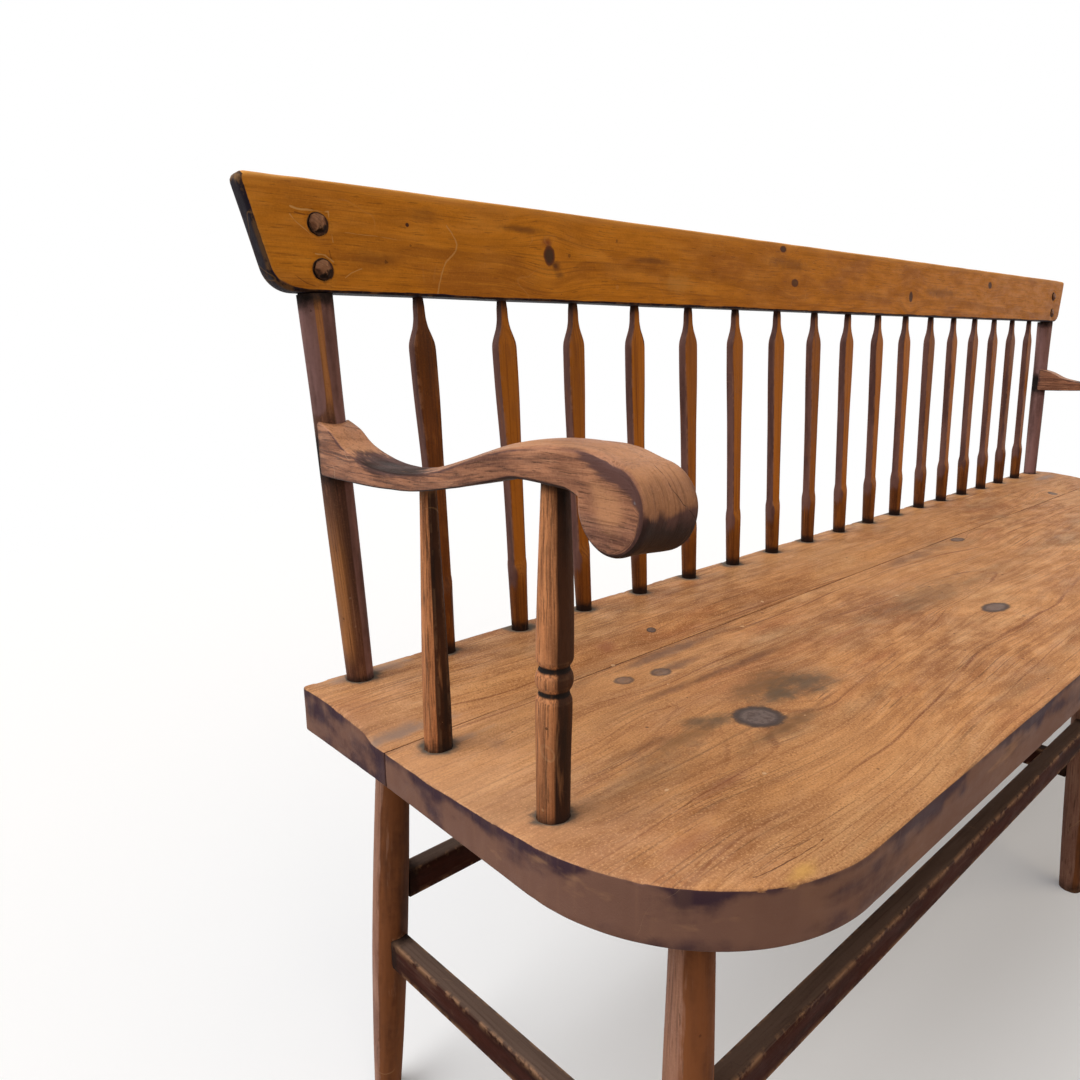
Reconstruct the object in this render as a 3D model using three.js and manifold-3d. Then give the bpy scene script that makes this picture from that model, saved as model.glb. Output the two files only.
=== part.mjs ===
// A deacons bench: a two-board plank seat on six legs with box stretchers, a back of arrow
// spindles between two raked posts under a pegged crest rail, and two arms with rolled ends.
// Millimetres. X runs along the bench, Y towards its back, Z up.
import * as THREE from 'three';
import { mergeVertices } from 'three/addons/utils/BufferGeometryUtils.js';
import Module from 'manifold-3d';

const wasm = await Module();
wasm.setup();

// Fits
const CLEARANCE = 0.3;      // between a tenon and its socket, all round
const OVERRUN = 2;          // how far a cut runs past the face it opens
const FINE = 0.001;         // vertices closer than this are one

// Seat
const SEAT_LENGTH = 1822;
const SEAT_DEPTH = 456;
const SEAT_THICKNESS = 40;
const SEAT_HEIGHT = 445;
const REAR_BOARD_DEPTH = 136;
const SEAM_WIDTH = 0.8;
const SEAT_CORNER_RADIUS = 150;
const SEAT_BACK_RADIUS = 6;
const SEAT_EASE = 3;
const DISH_DEPTH = 11.5;
// The worn hollow across the seat: share of its depth from the back, share of the dish.
const DISH_SHARES = [
  [0, 0], [0.09, 0], [0.16, 0.12], [0.224, 0.38], [0.262, 0.93], [0.3, 1],
  [0.458, 0.84], [0.557, 0.65], [0.675, 0.27], [0.77, 0.04], [0.84, 0],
];
const SEAT_DOWELS = 5;
const DOWEL_DIAMETER = 12;
const DOWEL_LENGTH = 70;
const DOWEL_DROP_SHARE = 0.64;     // of the seat's thickness, below its top

// Back: spindles, posts and crest rail
const SPINDLES = 17;
const POST_INSET = 47;             // post foot, from the seat's end
const BACK_INSET = 16;             // feet of posts and spindles, from the seat's back edge
const BACK_RISE = 338.3;            // seat top to the underside of the crest rail
const BACK_RAKE = 14.2;            // how far the heads stand behind the feet
const BACK_SPREAD = 8.1;           // fan of the heads, at the bench's ends
const POST_LEAN = 3.5;             // how much further out the posts' own heads stand

const SPINDLE_FOOT = 18.4;
const SPINDLE_KNUCKLE = 20.6;
const SPINDLE_WAIST = 16.6;
const SPINDLE_WIDTH = 24.8;
const SPINDLE_THICKNESS = 11;
const SPINDLE_NECK = 7.8;
const SPINDLE_SOCKET = 28;
const SPINDLE_HEAD_SOCKET = 18;
const KNUCKLE_HEIGHT = 60;
const SHAVING_RUN = 19;            // from the knuckle to the full flat
const SHOULDER_DROP = 47;          // widest point of the blade, below the crest rail
const FOOT_TAPER_SHARE = 0.92;
// Blade above the knuckle: share of the way to the shoulder, share of waist-to-width growth.
const BLADE_SHARES = [[0, 0], [0.5, 0.24], [1, 1]];
// Shoulder to neck: share of the drop used, share of width-to-neck narrowing.
const SHOULDER_SHARES = [[0.1, 0.08], [0.3, 0.46], [0.46, 0.78], [0.66, 0.95]];
const SPINDLE_SIDES = 10;

const POST_FOOT = 25;
const POST_AT_ARM = 27.7;
const POST_HEAD = 30.4;
const POST_SOCKET = 32;
const POST_SIDES = 14;
const POST_FLAT_SHARE = 0.88;      // front flat at the head, of its radius
const POST_FLAT_START = 30;        // the flat starts this far above the arm's joint
const POST_TURN = 12;              // degrees the flat faces in towards the middle
const POST_TENON_WIDTH = 28;
const POST_TENON_THICKNESS = 12;
const POST_TENON_LENGTH = 64;
const POST_SHOULDER_GAP = 0.7;

const CREST_HEIGHT = 86.8;
const CREST_THICKNESS = 21;
const CREST_SET_FORWARD = 3;       // crest rail's middle, in front of the spindles' heads
const CREST_TOP_OVERHANG = 26;     // top corner, outside the seat's end
const CREST_END_SLANT = 23;        // how much further in the bottom corner lies
const CREST_TOP_RADIUS = 6;
const CREST_LOWER_RADIUS = 24;
const CREST_EASE = 3;

const PEG_HEAD = 18;
const PEG_TAIL = 12.5;
const PEG_PROUD = 2.4;
const PEG_SIDES = 8;
const PEG_HEIGHTS = [17.1, 52.1];  // above the crest rail's lower edge
const PEG_OFFSET = 4;              // towards the middle, from the post's axis
const PEG_DOME_SHARES = [[0.55, 0.88], [1, 0.5]];

// Arms
const ARM_WIDTH_BACK = 29;
const ARM_WIDTH_SCROLL = 43.6;
const ARM_EASE = 2.4;
const ARM_CROWN = 243.3;           // highest point of the arm above the seat
const ARM_REACH = 388;             // front of the scroll, from the seat's back edge
const SCROLL_RADIUS = 25.4;
const SCROLL_DROP = 5.3;           // top of the scroll, below the arm's crown
const SCROLL_TOP_ANGLE = 93;       // degrees, where the top edge runs into the scroll
const SCROLL_BACK_ANGLE = -188;    // degrees, where the scroll runs into the underside
const ARM_CHEEK_SETBACK = 1.5;     // arm's cheeks end this far in front of the post's axis
// Top edge: share of the reach, share of the crown.
const ARM_TOP_SHARES = [
  [0.0832, 0.939], [0.147, 0.888], [0.2407, 0.853], [0.327, 0.846], [0.4082, 0.8545],
  [0.4832, 0.8746], [0.5626, 0.9083], [0.6804, 0.9634], [0.768, 0.9885], [0.845, 0.9995],
];
const ARM_BACK_TOP_SHARE = 0.969;
// Underside from the scroll back to the post, in the same shares.
const ARM_UNDER_SHARES = [
  [0.846, 0.8985], [0.786, 0.9018], [0.72, 0.9], [0.64, 0.871], [0.543, 0.8376],
  [0.4307, 0.8052], [0.3232, 0.7904], [0.1706, 0.7789],
];
const ARM_BACK_UNDER_SHARE = 0.7735;
const ARM_TOP_STEPS = 20;
const ARM_UNDER_STEPS = 14;
const SCROLL_STEPS = 14;
const ARM_TENON_DIAMETER = 12;
const ARM_TENON_DEPTH = 15;        // into the post, from its front
const ARM_TENON_ROOT = 18;         // inside the arm
const ARM_TENON_SHARE = 0.86;      // its height, of the arm's crown

const ARM_POST_SETBACK = 295.5;    // from the seat's back edge
const ARM_POST_FOOT_INSET = 32.7;  // from the seat's end
const ARM_POST_HEAD_INSET = 33.3;
const ARM_POST_SOCKET = 28;
const ARM_POST_TENON = 14;
const ARM_POST_TENON_LENGTH = 13;
const ARM_POST_FOOT = 22.8;
const ARM_POST_SIDES = 14;
// Turning: height above the seat, diameter.
const ARM_POST_LOWER = 24.2;
const ARM_POST_LOWER_HEIGHT = 79;
const ARM_POST_LOWER_EDGE_HEIGHT = 84;
const ARM_POST_GROOVE = 20.8;
const ARM_POST_LOW_GROOVE_HEIGHT = 88.4;
const ARM_POST_RING = 24.3;
const ARM_POST_RING_HEIGHT = 95;
const ARM_POST_RING_HALF = 3;
const ARM_POST_TOP_GROOVE_HEIGHT = 101.6;
const ARM_POST_UPPER = 24.4;
const ARM_POST_UPPER_HEIGHT = 106;
const ARM_POST_HEAD = 17.8;

const SHORT_SETBACK = 156.6;
const SHORT_INSET = 37;
const SHORT_FOOT = 23;
const SHORT_HEAD = 13;
const SHORT_SOCKET = 24;
const SHORT_TENON = 9;
const SHORT_TENON_LENGTH = 7;
const SHORT_SIDES = 8;

// Undercarriage
// A leg's axis at the seat's underside and at the floor: from the seat's end, and from its
// back edge (rear legs) or front edge (front legs).
const REAR_LEGS = { topInset: 55, footInset: 38, topSetback: 56, footSetback: 35 };
const FRONT_LEGS = { topInset: 76, footInset: 54, topSetback: 78, footSetback: 56 };
const LEG_NECK = 27;
const LEG_UPPER = 31;
const LEG_BELLY = 35.5;
const LEG_FOOT = 27;
const LEG_SOCKET = 27;
const LEG_SIDES = 12;
const LEG_UPPER_DROP = 34;
const LEG_BELLY_SHARE = 0.47;      // height of the thickest point, of the clear height
const LEG_ANKLE_SHARE = 0.2;
const LEG_ANKLE = 32;

const STRETCHER_THICKNESS = 18;
const STRETCHER_HEIGHT = 26;
const STRETCHER_CHAMFER = 2;
const LONG_STRETCHER_DROP = 206;   // middle of the front and rear stretchers, below the seat top
const CROSS_STRETCHER_DROP = 268;
const STRETCHER_TENON = 13;
const STRETCHER_TENON_DEPTH = 13;
const STRETCHER_TENON_SIDES = 10;

const END = SEAT_LENGTH / 2;
const SPACING = (SEAT_LENGTH - 2 * POST_INSET) / (SPINDLES + 1);
const UP = new THREE.Vector3(0, 0, 1);
const BACKWARD = new THREE.Vector3(0, 1, 0);

const bench = new THREE.Group();

// Solids and frames

function closed(geometry) {
  const bare = geometry.clone();
  bare.deleteAttribute('normal');
  bare.deleteAttribute('uv');
  const merged = mergeVertices(bare, FINE);
  const corners = merged.index.array;
  const kept = [];
  for (let i = 0; i < corners.length; i += 3) {
    const [a, b, c] = corners.slice(i, i + 3);
    if (a !== b && b !== c && c !== a) kept.push(a, b, c);
  }
  merged.setIndex(kept);
  return merged;
}

function solidOf(geometry, frame = new THREE.Matrix4()) {
  const merged = closed(geometry.clone().applyMatrix4(frame));
  return new wasm.Manifold(new wasm.Mesh({
    numProp: 3,
    vertProperties: Float32Array.from(merged.attributes.position.array),
    triVerts: Uint32Array.from(merged.index.array),
  }));
}

function geometryOf(solid) {
  const mesh = solid.getMesh();
  const geometry = new THREE.BufferGeometry();
  geometry.setAttribute('position', new THREE.BufferAttribute(Float32Array.from(mesh.vertProperties), 3));
  geometry.setIndex(new THREE.BufferAttribute(Uint32Array.from(mesh.triVerts), 1));
  return geometry;
}

// A frame at one point with its Z towards another, and its Y as near as it can be to `up`.
function frameBetween(from, to, up, turn = 0) {
  const z = to.clone().sub(from).normalize();
  const x = up.clone().cross(z).normalize();
  const y = z.clone().cross(x);
  const frame = new THREE.Matrix4().makeBasis(x, y, z).setPosition(from);
  return frame.multiply(new THREE.Matrix4().makeRotationZ(turn));
}

// Adds a piece from a solid in the bench's frame, kept in its own frame and placed from there.
function add(name, solid, frame, colour, roughness) {
  const geometry = geometryOf(solid).applyMatrix4(frame.clone().invert());
  geometry.computeVertexNormals();
  const mesh = new THREE.Mesh(geometry, new THREE.MeshStandardMaterial({ color: colour, roughness }));
  mesh.name = name;
  mesh.applyMatrix4(frame);
  bench.add(mesh);
}

// A bar along Z, turned to each station's radius and shaved flat at its front and back.
function barGeometry(stations, sides, phaseShare = 0) {
  const positions = [];
  const index = [];
  for (const { z, r, front = r, back = r } of stations) {
    for (let i = 0; i < sides; i++) {
      const angle = (2 * Math.PI * (i + phaseShare)) / sides;
      positions.push(r * Math.cos(angle), THREE.MathUtils.clamp(r * Math.sin(angle), -front, back), z);
    }
  }
  for (let ring = 0; ring + 1 < stations.length; ring++) {
    for (let i = 0; i < sides; i++) {
      const a = ring * sides + i;
      const b = ring * sides + (i + 1) % sides;
      index.push(a, b, a + sides, b, b + sides, a + sides);
    }
  }
  const last = (stations.length - 1) * sides;
  for (let i = 1; i + 1 < sides; i++) {
    index.push(0, i + 1, i);
    index.push(last, last + i, last + i + 1);
  }
  const geometry = new THREE.BufferGeometry();
  geometry.setAttribute('position', new THREE.Float32BufferAttribute(positions, 3));
  geometry.setIndex(index);
  return geometry;
}

// The same stations with room all round, for the socket that takes them.
function grown(stations) {
  return stations.map(({ z, r, front = r, back = r }, i) => ({
    z: z + (i === 0 ? -CLEARANCE : 0) + (i === stations.length - 1 ? CLEARANCE : 0),
    r: r + CLEARANCE,
    front: front + CLEARANCE,
    back: back + CLEARANCE,
  }));
}

// A worked bar as a solid in the bench's frame, and the cutter that makes its sockets.
function bar(stations, sides, frame, phaseShare = 0) {
  return {
    frame,
    solid: solidOf(barGeometry(stations, sides, phaseShare), frame),
    socket: solidOf(barGeometry(grown(stations), sides, phaseShare), frame),
  };
}

// Heights on the seat

function dishAt(setback) {
  const share = setback / SEAT_DEPTH;
  for (let i = 1; i < DISH_SHARES.length; i++) {
    const [from, shallow] = DISH_SHARES[i - 1];
    const [to, deep] = DISH_SHARES[i];
    if (share <= to) return DISH_DEPTH * (shallow + ((deep - shallow) * (share - from)) / (to - from));
  }
  return 0;
}

const onSeat = (x, setback) => new THREE.Vector3(x, -setback, SEAT_HEIGHT - dishAt(setback));

// Spindles

function spindleStations(length) {
  const waist = SPINDLE_WAIST / 2;
  const wide = SPINDLE_WIDTH / 2;
  const neck = SPINDLE_NECK / 2;
  const flat = SPINDLE_THICKNESS / 2;
  const bladeFoot = KNUCKLE_HEIGHT + SHAVING_RUN;
  const shoulder = length - SHOULDER_DROP;
  const stations = [
    { z: -SPINDLE_SOCKET, r: (SPINDLE_FOOT / 2) * FOOT_TAPER_SHARE },
    { z: 0, r: SPINDLE_FOOT / 2 },
    { z: KNUCKLE_HEIGHT, r: SPINDLE_KNUCKLE / 2 },
  ];
  for (const [along, growth] of BLADE_SHARES) {
    stations.push({
      z: bladeFoot + along * (shoulder - bladeFoot),
      r: waist + growth * (wide - waist),
      front: flat,
      back: flat,
    });
  }
  for (const [along, narrowing] of SHOULDER_SHARES) {
    const r = wide - narrowing * (wide - neck);
    stations.push({ z: shoulder + along * SHOULDER_DROP, r, front: Math.min(r, flat), back: Math.min(r, flat) });
  }
  stations.push({ z: length, r: neck });
  stations.push({ z: length + SPINDLE_HEAD_SOCKET, r: neck });
  return stations;
}

const backFoot = (x) => onSeat(x, BACK_INSET);
// Heads fan out from the middle.
const backHead = (x) => new THREE.Vector3(
  x + (BACK_SPREAD * x) / (END - POST_INSET),
  BACK_RAKE - BACK_INSET,
  SEAT_HEIGHT + BACK_RISE,
);

const spindles = [];
for (let i = 1; i <= SPINDLES; i++) {
  const x = -END + POST_INSET + i * SPACING;
  const foot = backFoot(x);
  const head = backHead(x);
  const frame = frameBetween(foot, head, BACKWARD);
  spindles.push(bar(spindleStations(foot.distanceTo(head)), SPINDLE_SIDES, frame));
}

// Back posts

function postStations(length, armHeight) {
  const foot = POST_FOOT / 2;
  const atArm = POST_AT_ARM / 2;
  const head = POST_HEAD / 2;
  const flatStart = armHeight + POST_FLAT_START;
  const shoulder = length - POST_SHOULDER_GAP;
  return [
    { z: -POST_SOCKET, r: foot * FOOT_TAPER_SHARE },
    { z: 0, r: foot },
    { z: armHeight, r: atArm },
    { z: flatStart, r: atArm },
    { z: shoulder, r: head, front: head * POST_FLAT_SHARE },
  ];
}

// The tenon in the crest rail's mortise, rooted inside the post's head.
function postTenonStations(length) {
  const section = { r: POST_TENON_WIDTH / 2, front: POST_TENON_THICKNESS / 2, back: POST_TENON_THICKNESS / 2 };
  return [{ z: length - POST_FOOT, ...section }, { z: length + POST_TENON_LENGTH, ...section }];
}

function makePost(side) {
  const foot = backFoot(side * (END - POST_INSET));
  const head = backHead(side * (END - POST_INSET));
  head.x += side * POST_LEAN;
  const turn = THREE.MathUtils.degToRad(POST_TURN) * -side;
  const length = foot.distanceTo(head);
  const stations = postStations(length, ARM_CROWN * ARM_TENON_SHARE);
  const body = bar(stations, POST_SIDES, frameBetween(foot, head, BACKWARD, turn));
  const tongue = bar(postTenonStations(length), POST_SIDES, frameBetween(foot, head, BACKWARD));
  return {
    frame: body.frame,
    solid: body.solid.add(tongue.solid),
    socket: body.socket.add(tongue.socket),
    // The post's axis at a height above the seat.
    axisAt: (height) => foot.clone().lerp(head, height / BACK_RISE),
  };
}

// Crest rail

// An outline whose corners are rounded, each by its own radius.
function roundedShape(corners, steps) {
  const points = [];
  corners.forEach(([x, y, radius], i) => {
    const corner = new THREE.Vector2(x, y);
    if (!radius) {
      points.push(corner);
      return;
    }
    const before = corners[(i + corners.length - 1) % corners.length];
    const after = corners[(i + 1) % corners.length];
    const inward = new THREE.Vector2(before[0], before[1]).sub(corner).normalize();
    const outward = new THREE.Vector2(after[0], after[1]).sub(corner).normalize();
    const half = Math.acos(inward.dot(outward)) / 2;
    const reach = radius / Math.tan(half);
    const start = corner.clone().addScaledVector(inward, reach);
    const end = corner.clone().addScaledVector(outward, reach);
    const centre = corner.clone().addScaledVector(inward.clone().add(outward).normalize(), radius / Math.sin(half));
    const first = start.clone().sub(centre).angle();
    const sweep = THREE.MathUtils.euclideanModulo(end.clone().sub(centre).angle() - first + Math.PI, 2 * Math.PI);
    for (let step = 0; step <= steps; step++) {
      const angle = first + ((sweep - Math.PI) * step) / steps;
      points.push(new THREE.Vector2(Math.cos(angle), Math.sin(angle)).multiplyScalar(radius).add(centre));
    }
  });
  return new THREE.Shape(points);
}

const crestRake = Math.atan(BACK_RAKE / BACK_RISE);
const crestUp = new THREE.Vector3(0, Math.sin(crestRake), Math.cos(crestRake));
const crestForward = new THREE.Vector3(0, -Math.cos(crestRake), Math.sin(crestRake));
const crestFrame = new THREE.Matrix4()
  .makeBasis(new THREE.Vector3(1, 0, 0), crestUp, crestForward)
  .setPosition(0, BACK_RAKE - BACK_INSET - CREST_SET_FORWARD, SEAT_HEIGHT + BACK_RISE);

function crestGeometry() {
  const top = END + CREST_TOP_OVERHANG;
  const bottom = top - CREST_END_SLANT;
  const cornerSteps = 5;
  const outline = roundedShape([
    [-bottom, 0, CREST_LOWER_RADIUS],
    [bottom, 0, CREST_LOWER_RADIUS],
    [top, CREST_HEIGHT, CREST_TOP_RADIUS],
    [-top, CREST_HEIGHT, CREST_TOP_RADIUS],
  ], cornerSteps);
  const geometry = new THREE.ExtrudeGeometry(outline, {
    depth: CREST_THICKNESS - 2 * CREST_EASE,
    bevelThickness: CREST_EASE,
    bevelSize: CREST_EASE,
    bevelOffset: -CREST_EASE,
    bevelSegments: 1,
  });
  return geometry.translate(0, 0, CREST_EASE - CREST_THICKNESS / 2);
}

// Pegs, driven from the front through the crest rail and the post's tenon

function pegStations() {
  const half = CREST_THICKNESS / 2;
  const head = PEG_HEAD / 2;
  const stations = [{ z: -half, r: PEG_TAIL / 2 }, { z: half, r: head }];
  for (const [out, width] of PEG_DOME_SHARES) {
    stations.push({ z: half + out * PEG_PROUD, r: head * width });
  }
  return stations;
}

function makePeg(post, height) {
  const lift = height * Math.cos(crestRake);
  const axis = post.axisAt(BACK_RISE + lift);
  const centre = new THREE.Vector3(axis.x, 0, 0)
    .add(new THREE.Vector3().setFromMatrixPosition(crestFrame).setX(-Math.sign(axis.x) * PEG_OFFSET))
    .addScaledVector(crestUp, height);
  const frame = frameBetween(centre, centre.clone().add(crestForward), UP);
  return bar(pegStations(), PEG_SIDES, frame, 0.5);
}

// Arms

const scrollCentre = new THREE.Vector2(ARM_REACH - SCROLL_RADIUS, ARM_CROWN - SCROLL_DROP - SCROLL_RADIUS);
const armPoint = ([forward, rise]) => new THREE.Vector2(forward * ARM_REACH, rise * ARM_CROWN);

function armOutline(start) {
  const top = new THREE.SplineCurve([
    new THREE.Vector2(start, ARM_BACK_TOP_SHARE * ARM_CROWN),
    ...ARM_TOP_SHARES.map(armPoint),
  ]).getPoints(ARM_TOP_STEPS);
  const scroll = new THREE.EllipseCurve(
    scrollCentre.x, scrollCentre.y, SCROLL_RADIUS, SCROLL_RADIUS,
    THREE.MathUtils.degToRad(SCROLL_TOP_ANGLE), THREE.MathUtils.degToRad(SCROLL_BACK_ANGLE), true,
  ).getPoints(SCROLL_STEPS);
  const under = new THREE.SplineCurve([
    ...ARM_UNDER_SHARES.map(armPoint),
    new THREE.Vector2(start, ARM_BACK_UNDER_SHARE * ARM_CROWN),
  ]).getPoints(ARM_UNDER_STEPS);
  return new THREE.Shape([...top, ...scroll, ...under]);
}

// Underside of the arm at a distance from the seat's back edge.
function armUnderside(setback) {
  const points = ARM_UNDER_SHARES.map(armPoint);
  for (let i = 1; i < points.length; i++) {
    const [a, b] = [points[i], points[i - 1]];
    if (setback >= a.x && setback <= b.x) {
      return THREE.MathUtils.mapLinear(setback, a.x, b.x, a.y, b.y);
    }
  }
  return points[0].y;
}

function makeArm(side, post) {
  const rear = post.axisAt(ARM_TENON_SHARE * ARM_CROWN);
  const front = side * (END - ARM_POST_HEAD_INSET);
  const rearSetback = -rear.y;
  const start = rearSetback + ARM_CHEEK_SETBACK;
  const geometry = new THREE.ExtrudeGeometry(armOutline(start), {
    depth: ARM_WIDTH_SCROLL - 2 * ARM_EASE,
    bevelThickness: ARM_EASE,
    bevelSize: ARM_EASE,
    bevelOffset: -ARM_EASE,
    bevelSegments: 1,
  }).translate(0, 0, ARM_EASE - ARM_WIDTH_SCROLL / 2);
  // Spread the extruded outline across the arm, which is wider and further out at its front.
  const position = geometry.attributes.position;
  const vertex = new THREE.Vector3();
  for (let i = 0; i < position.count; i++) {
    vertex.fromBufferAttribute(position, i);
    const { x: setback, y: height, z: across } = vertex;
    const centre = THREE.MathUtils.mapLinear(setback, rearSetback, ARM_POST_SETBACK, rear.x, front);
    const width = THREE.MathUtils.mapLinear(setback, start, ARM_REACH, ARM_WIDTH_BACK, ARM_WIDTH_SCROLL);
    const spread = width / ARM_WIDTH_SCROLL;
    position.setXYZ(i, centre - across * spread, -setback, SEAT_HEIGHT + height);
  }
  const tenonFrame = frameBetween(rear, new THREE.Vector3(front, -ARM_POST_SETBACK, rear.z), UP);
  const surface = POST_AT_ARM / 2;
  const tenon = bar([
    { z: surface - ARM_TENON_DEPTH, r: ARM_TENON_DIAMETER / 2 },
    { z: surface + ARM_TENON_ROOT, r: ARM_TENON_DIAMETER / 2 },
  ], SPINDLE_SIDES, tenonFrame);
  const frame = new THREE.Matrix4().setPosition(rear);
  return { frame, body: solidOf(geometry), tenon };
}

// Arm posts and short arm spindles

function armPostStations(length) {
  const heights = [
    [-ARM_POST_SOCKET, ARM_POST_FOOT * FOOT_TAPER_SHARE],
    [0, ARM_POST_FOOT],
    [ARM_POST_LOWER_HEIGHT, ARM_POST_LOWER],
    [ARM_POST_LOWER_EDGE_HEIGHT, ARM_POST_LOWER],
    [ARM_POST_LOW_GROOVE_HEIGHT, ARM_POST_GROOVE],
    [ARM_POST_RING_HEIGHT - ARM_POST_RING_HALF, ARM_POST_RING],
    [ARM_POST_RING_HEIGHT + ARM_POST_RING_HALF, ARM_POST_RING],
    [ARM_POST_TOP_GROOVE_HEIGHT, ARM_POST_GROOVE],
    [ARM_POST_UPPER_HEIGHT, ARM_POST_UPPER],
    [length, ARM_POST_HEAD],
    [length, ARM_POST_TENON],
    [length + ARM_POST_TENON_LENGTH, ARM_POST_TENON],
  ];
  return heights.map(([z, diameter]) => ({ z, r: diameter / 2 }));
}

function shortStations(length) {
  return [
    { z: -SHORT_SOCKET, r: (SHORT_FOOT / 2) * FOOT_TAPER_SHARE },
    { z: 0, r: SHORT_FOOT / 2 },
    { z: length, r: SHORT_HEAD / 2 },
    { z: length, r: SHORT_TENON / 2 },
    { z: length + SHORT_TENON_LENGTH, r: SHORT_TENON / 2 },
  ];
}

// An upright between the seat and the arm: its shoulder stops just short of the arm.
function makeUpright(side, setback, footInset, headInset, stationsFor, sides, phaseShare) {
  const foot = onSeat(side * (END - footInset), setback);
  const head = new THREE.Vector3(
    side * (END - headInset), -setback, SEAT_HEIGHT + armUnderside(setback) - CLEARANCE,
  );
  return bar(stationsFor(foot.distanceTo(head)), sides, frameBetween(foot, head, BACKWARD), phaseShare);
}

// Legs

const CLEAR_HEIGHT = SEAT_HEIGHT - SEAT_THICKNESS;

function legStations(length) {
  const clear = length - LEG_SOCKET;
  return [
    { z: -LEG_FOOT, r: LEG_FOOT / 2 },
    { z: LEG_ANKLE_SHARE * clear, r: LEG_ANKLE / 2 },
    { z: LEG_BELLY_SHARE * clear, r: LEG_BELLY / 2 },
    { z: clear - LEG_UPPER_DROP, r: LEG_UPPER / 2 },
    { z: clear, r: LEG_NECK / 2 },
    { z: length, r: (LEG_NECK / 2) * FOOT_TAPER_SHARE },
  ];
}

// column is -1, 0 or 1 along the bench; rear is true for the back row.
function makeLeg(column, rear) {
  const { topInset, footInset, topSetback, footSetback } = rear ? REAR_LEGS : FRONT_LEGS;
  const depth = (setback) => (rear ? -setback : setback - SEAT_DEPTH);
  const foot = new THREE.Vector3(column * (END - footInset), depth(footSetback), 0);
  const top = new THREE.Vector3(column * (END - topInset), depth(topSetback), CLEAR_HEIGHT);
  const length = foot.distanceTo(top) * (1 + LEG_SOCKET / CLEAR_HEIGHT);
  const leg = bar(legStations(length), LEG_SIDES, frameBetween(foot, top, BACKWARD));
  const floor = new THREE.BoxGeometry(LEG_BELLY * 2, LEG_BELLY * 2, LEG_BELLY * 2)
    .translate(foot.x, foot.y, -LEG_BELLY);
  leg.solid = leg.solid.subtract(solidOf(floor));
  leg.axisAt = (height) => foot.clone().lerp(top, height / CLEAR_HEIGHT);
  return leg;
}

// Stretchers: a chamfered bar shouldered against each leg, with a round tenon in it.
function makeStretcher(fromLeg, toLeg, height) {
  const from = fromLeg.axisAt(height);
  const to = toLeg.axisAt(height);
  const frame = frameBetween(from, to, UP);
  const length = from.distanceTo(to);
  const x = STRETCHER_THICKNESS / 2;
  const y = STRETCHER_HEIGHT / 2;
  const cut = STRETCHER_CHAMFER;
  const section = new THREE.Shape([
    [-x + cut, -y], [x - cut, -y], [x, -y + cut], [x, y - cut],
    [x - cut, y], [-x + cut, y], [-x, y - cut], [-x, -y + cut],
  ].map(([a, b]) => new THREE.Vector2(a, b)));
  const rail = new THREE.ExtrudeGeometry(section, { depth: length, bevelEnabled: false });
  const reach = LEG_BELLY / 2 - STRETCHER_TENON_DEPTH;
  const tenon = bar([
    { z: reach, r: STRETCHER_TENON / 2 },
    { z: length - reach, r: STRETCHER_TENON / 2 },
  ], STRETCHER_TENON_SIDES, frame);
  const shouldered = solidOf(rail, frame).subtract(fromLeg.socket).subtract(toLeg.socket);
  return { frame, solid: shouldered.add(tenon.solid), socket: tenon.socket };
}

// Seat boards

function seatSlab() {
  const cornerSteps = 10;
  const plan = roundedShape([
    [-END, -SEAT_DEPTH, SEAT_CORNER_RADIUS],
    [END, -SEAT_DEPTH, SEAT_CORNER_RADIUS],
    [END, 0, SEAT_BACK_RADIUS],
    [-END, 0, SEAT_BACK_RADIUS],
  ], cornerSteps);
  const slab = new THREE.ExtrudeGeometry(plan, {
    depth: SEAT_THICKNESS - 2 * SEAT_EASE,
    bevelThickness: SEAT_EASE,
    bevelSize: SEAT_EASE,
    bevelOffset: -SEAT_EASE,
    bevelSegments: 1,
  }).translate(0, 0, SEAT_HEIGHT - SEAT_THICKNESS + SEAT_EASE);
  return solidOf(slab).subtract(dishCutter());
}

function dishCutter() {
  const hollow = DISH_SHARES.map(([depth, dip]) => new THREE.Vector2(depth * SEAT_DEPTH, -dip * DISH_DEPTH));
  const [first, last] = [hollow[1], hollow[hollow.length - 1]];
  const outline = new THREE.Shape([
    ...hollow.slice(1),
    new THREE.Vector2(last.x, OVERRUN),
    new THREE.Vector2(first.x, OVERRUN),
  ]);
  const length = SEAT_LENGTH + 2 * OVERRUN;
  const frame = new THREE.Matrix4()
    .makeBasis(new THREE.Vector3(0, -1, 0), UP, new THREE.Vector3(-1, 0, 0))
    .setPosition(length / 2, 0, SEAT_HEIGHT);
  return solidOf(new THREE.ExtrudeGeometry(outline, { depth: length, bevelEnabled: false }), frame);
}

function halfOfSeat(slab, fromSetback, toSetback) {
  const depth = toSetback - fromSetback;
  const box = new THREE.BoxGeometry(SEAT_LENGTH + 2 * OVERRUN, depth, SEAT_THICKNESS + 2 * OVERRUN)
    .translate(0, -fromSetback - depth / 2, SEAT_HEIGHT - SEAT_THICKNESS / 2);
  return slab.intersect(solidOf(box));
}

function makeDowel(i) {
  const x = -END + (SEAT_LENGTH * (i - 0.5)) / SEAT_DOWELS;
  const z = SEAT_HEIGHT - SEAT_THICKNESS * DOWEL_DROP_SHARE;
  const from = new THREE.Vector3(x, -REAR_BOARD_DEPTH - DOWEL_LENGTH / 2, z);
  const to = new THREE.Vector3(x, -REAR_BOARD_DEPTH + DOWEL_LENGTH / 2, z);
  return bar([
    { z: 0, r: DOWEL_DIAMETER / 2 },
    { z: DOWEL_LENGTH, r: DOWEL_DIAMETER / 2 },
  ], PEG_SIDES, frameBetween(from, to, UP));
}

// Putting it together

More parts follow.
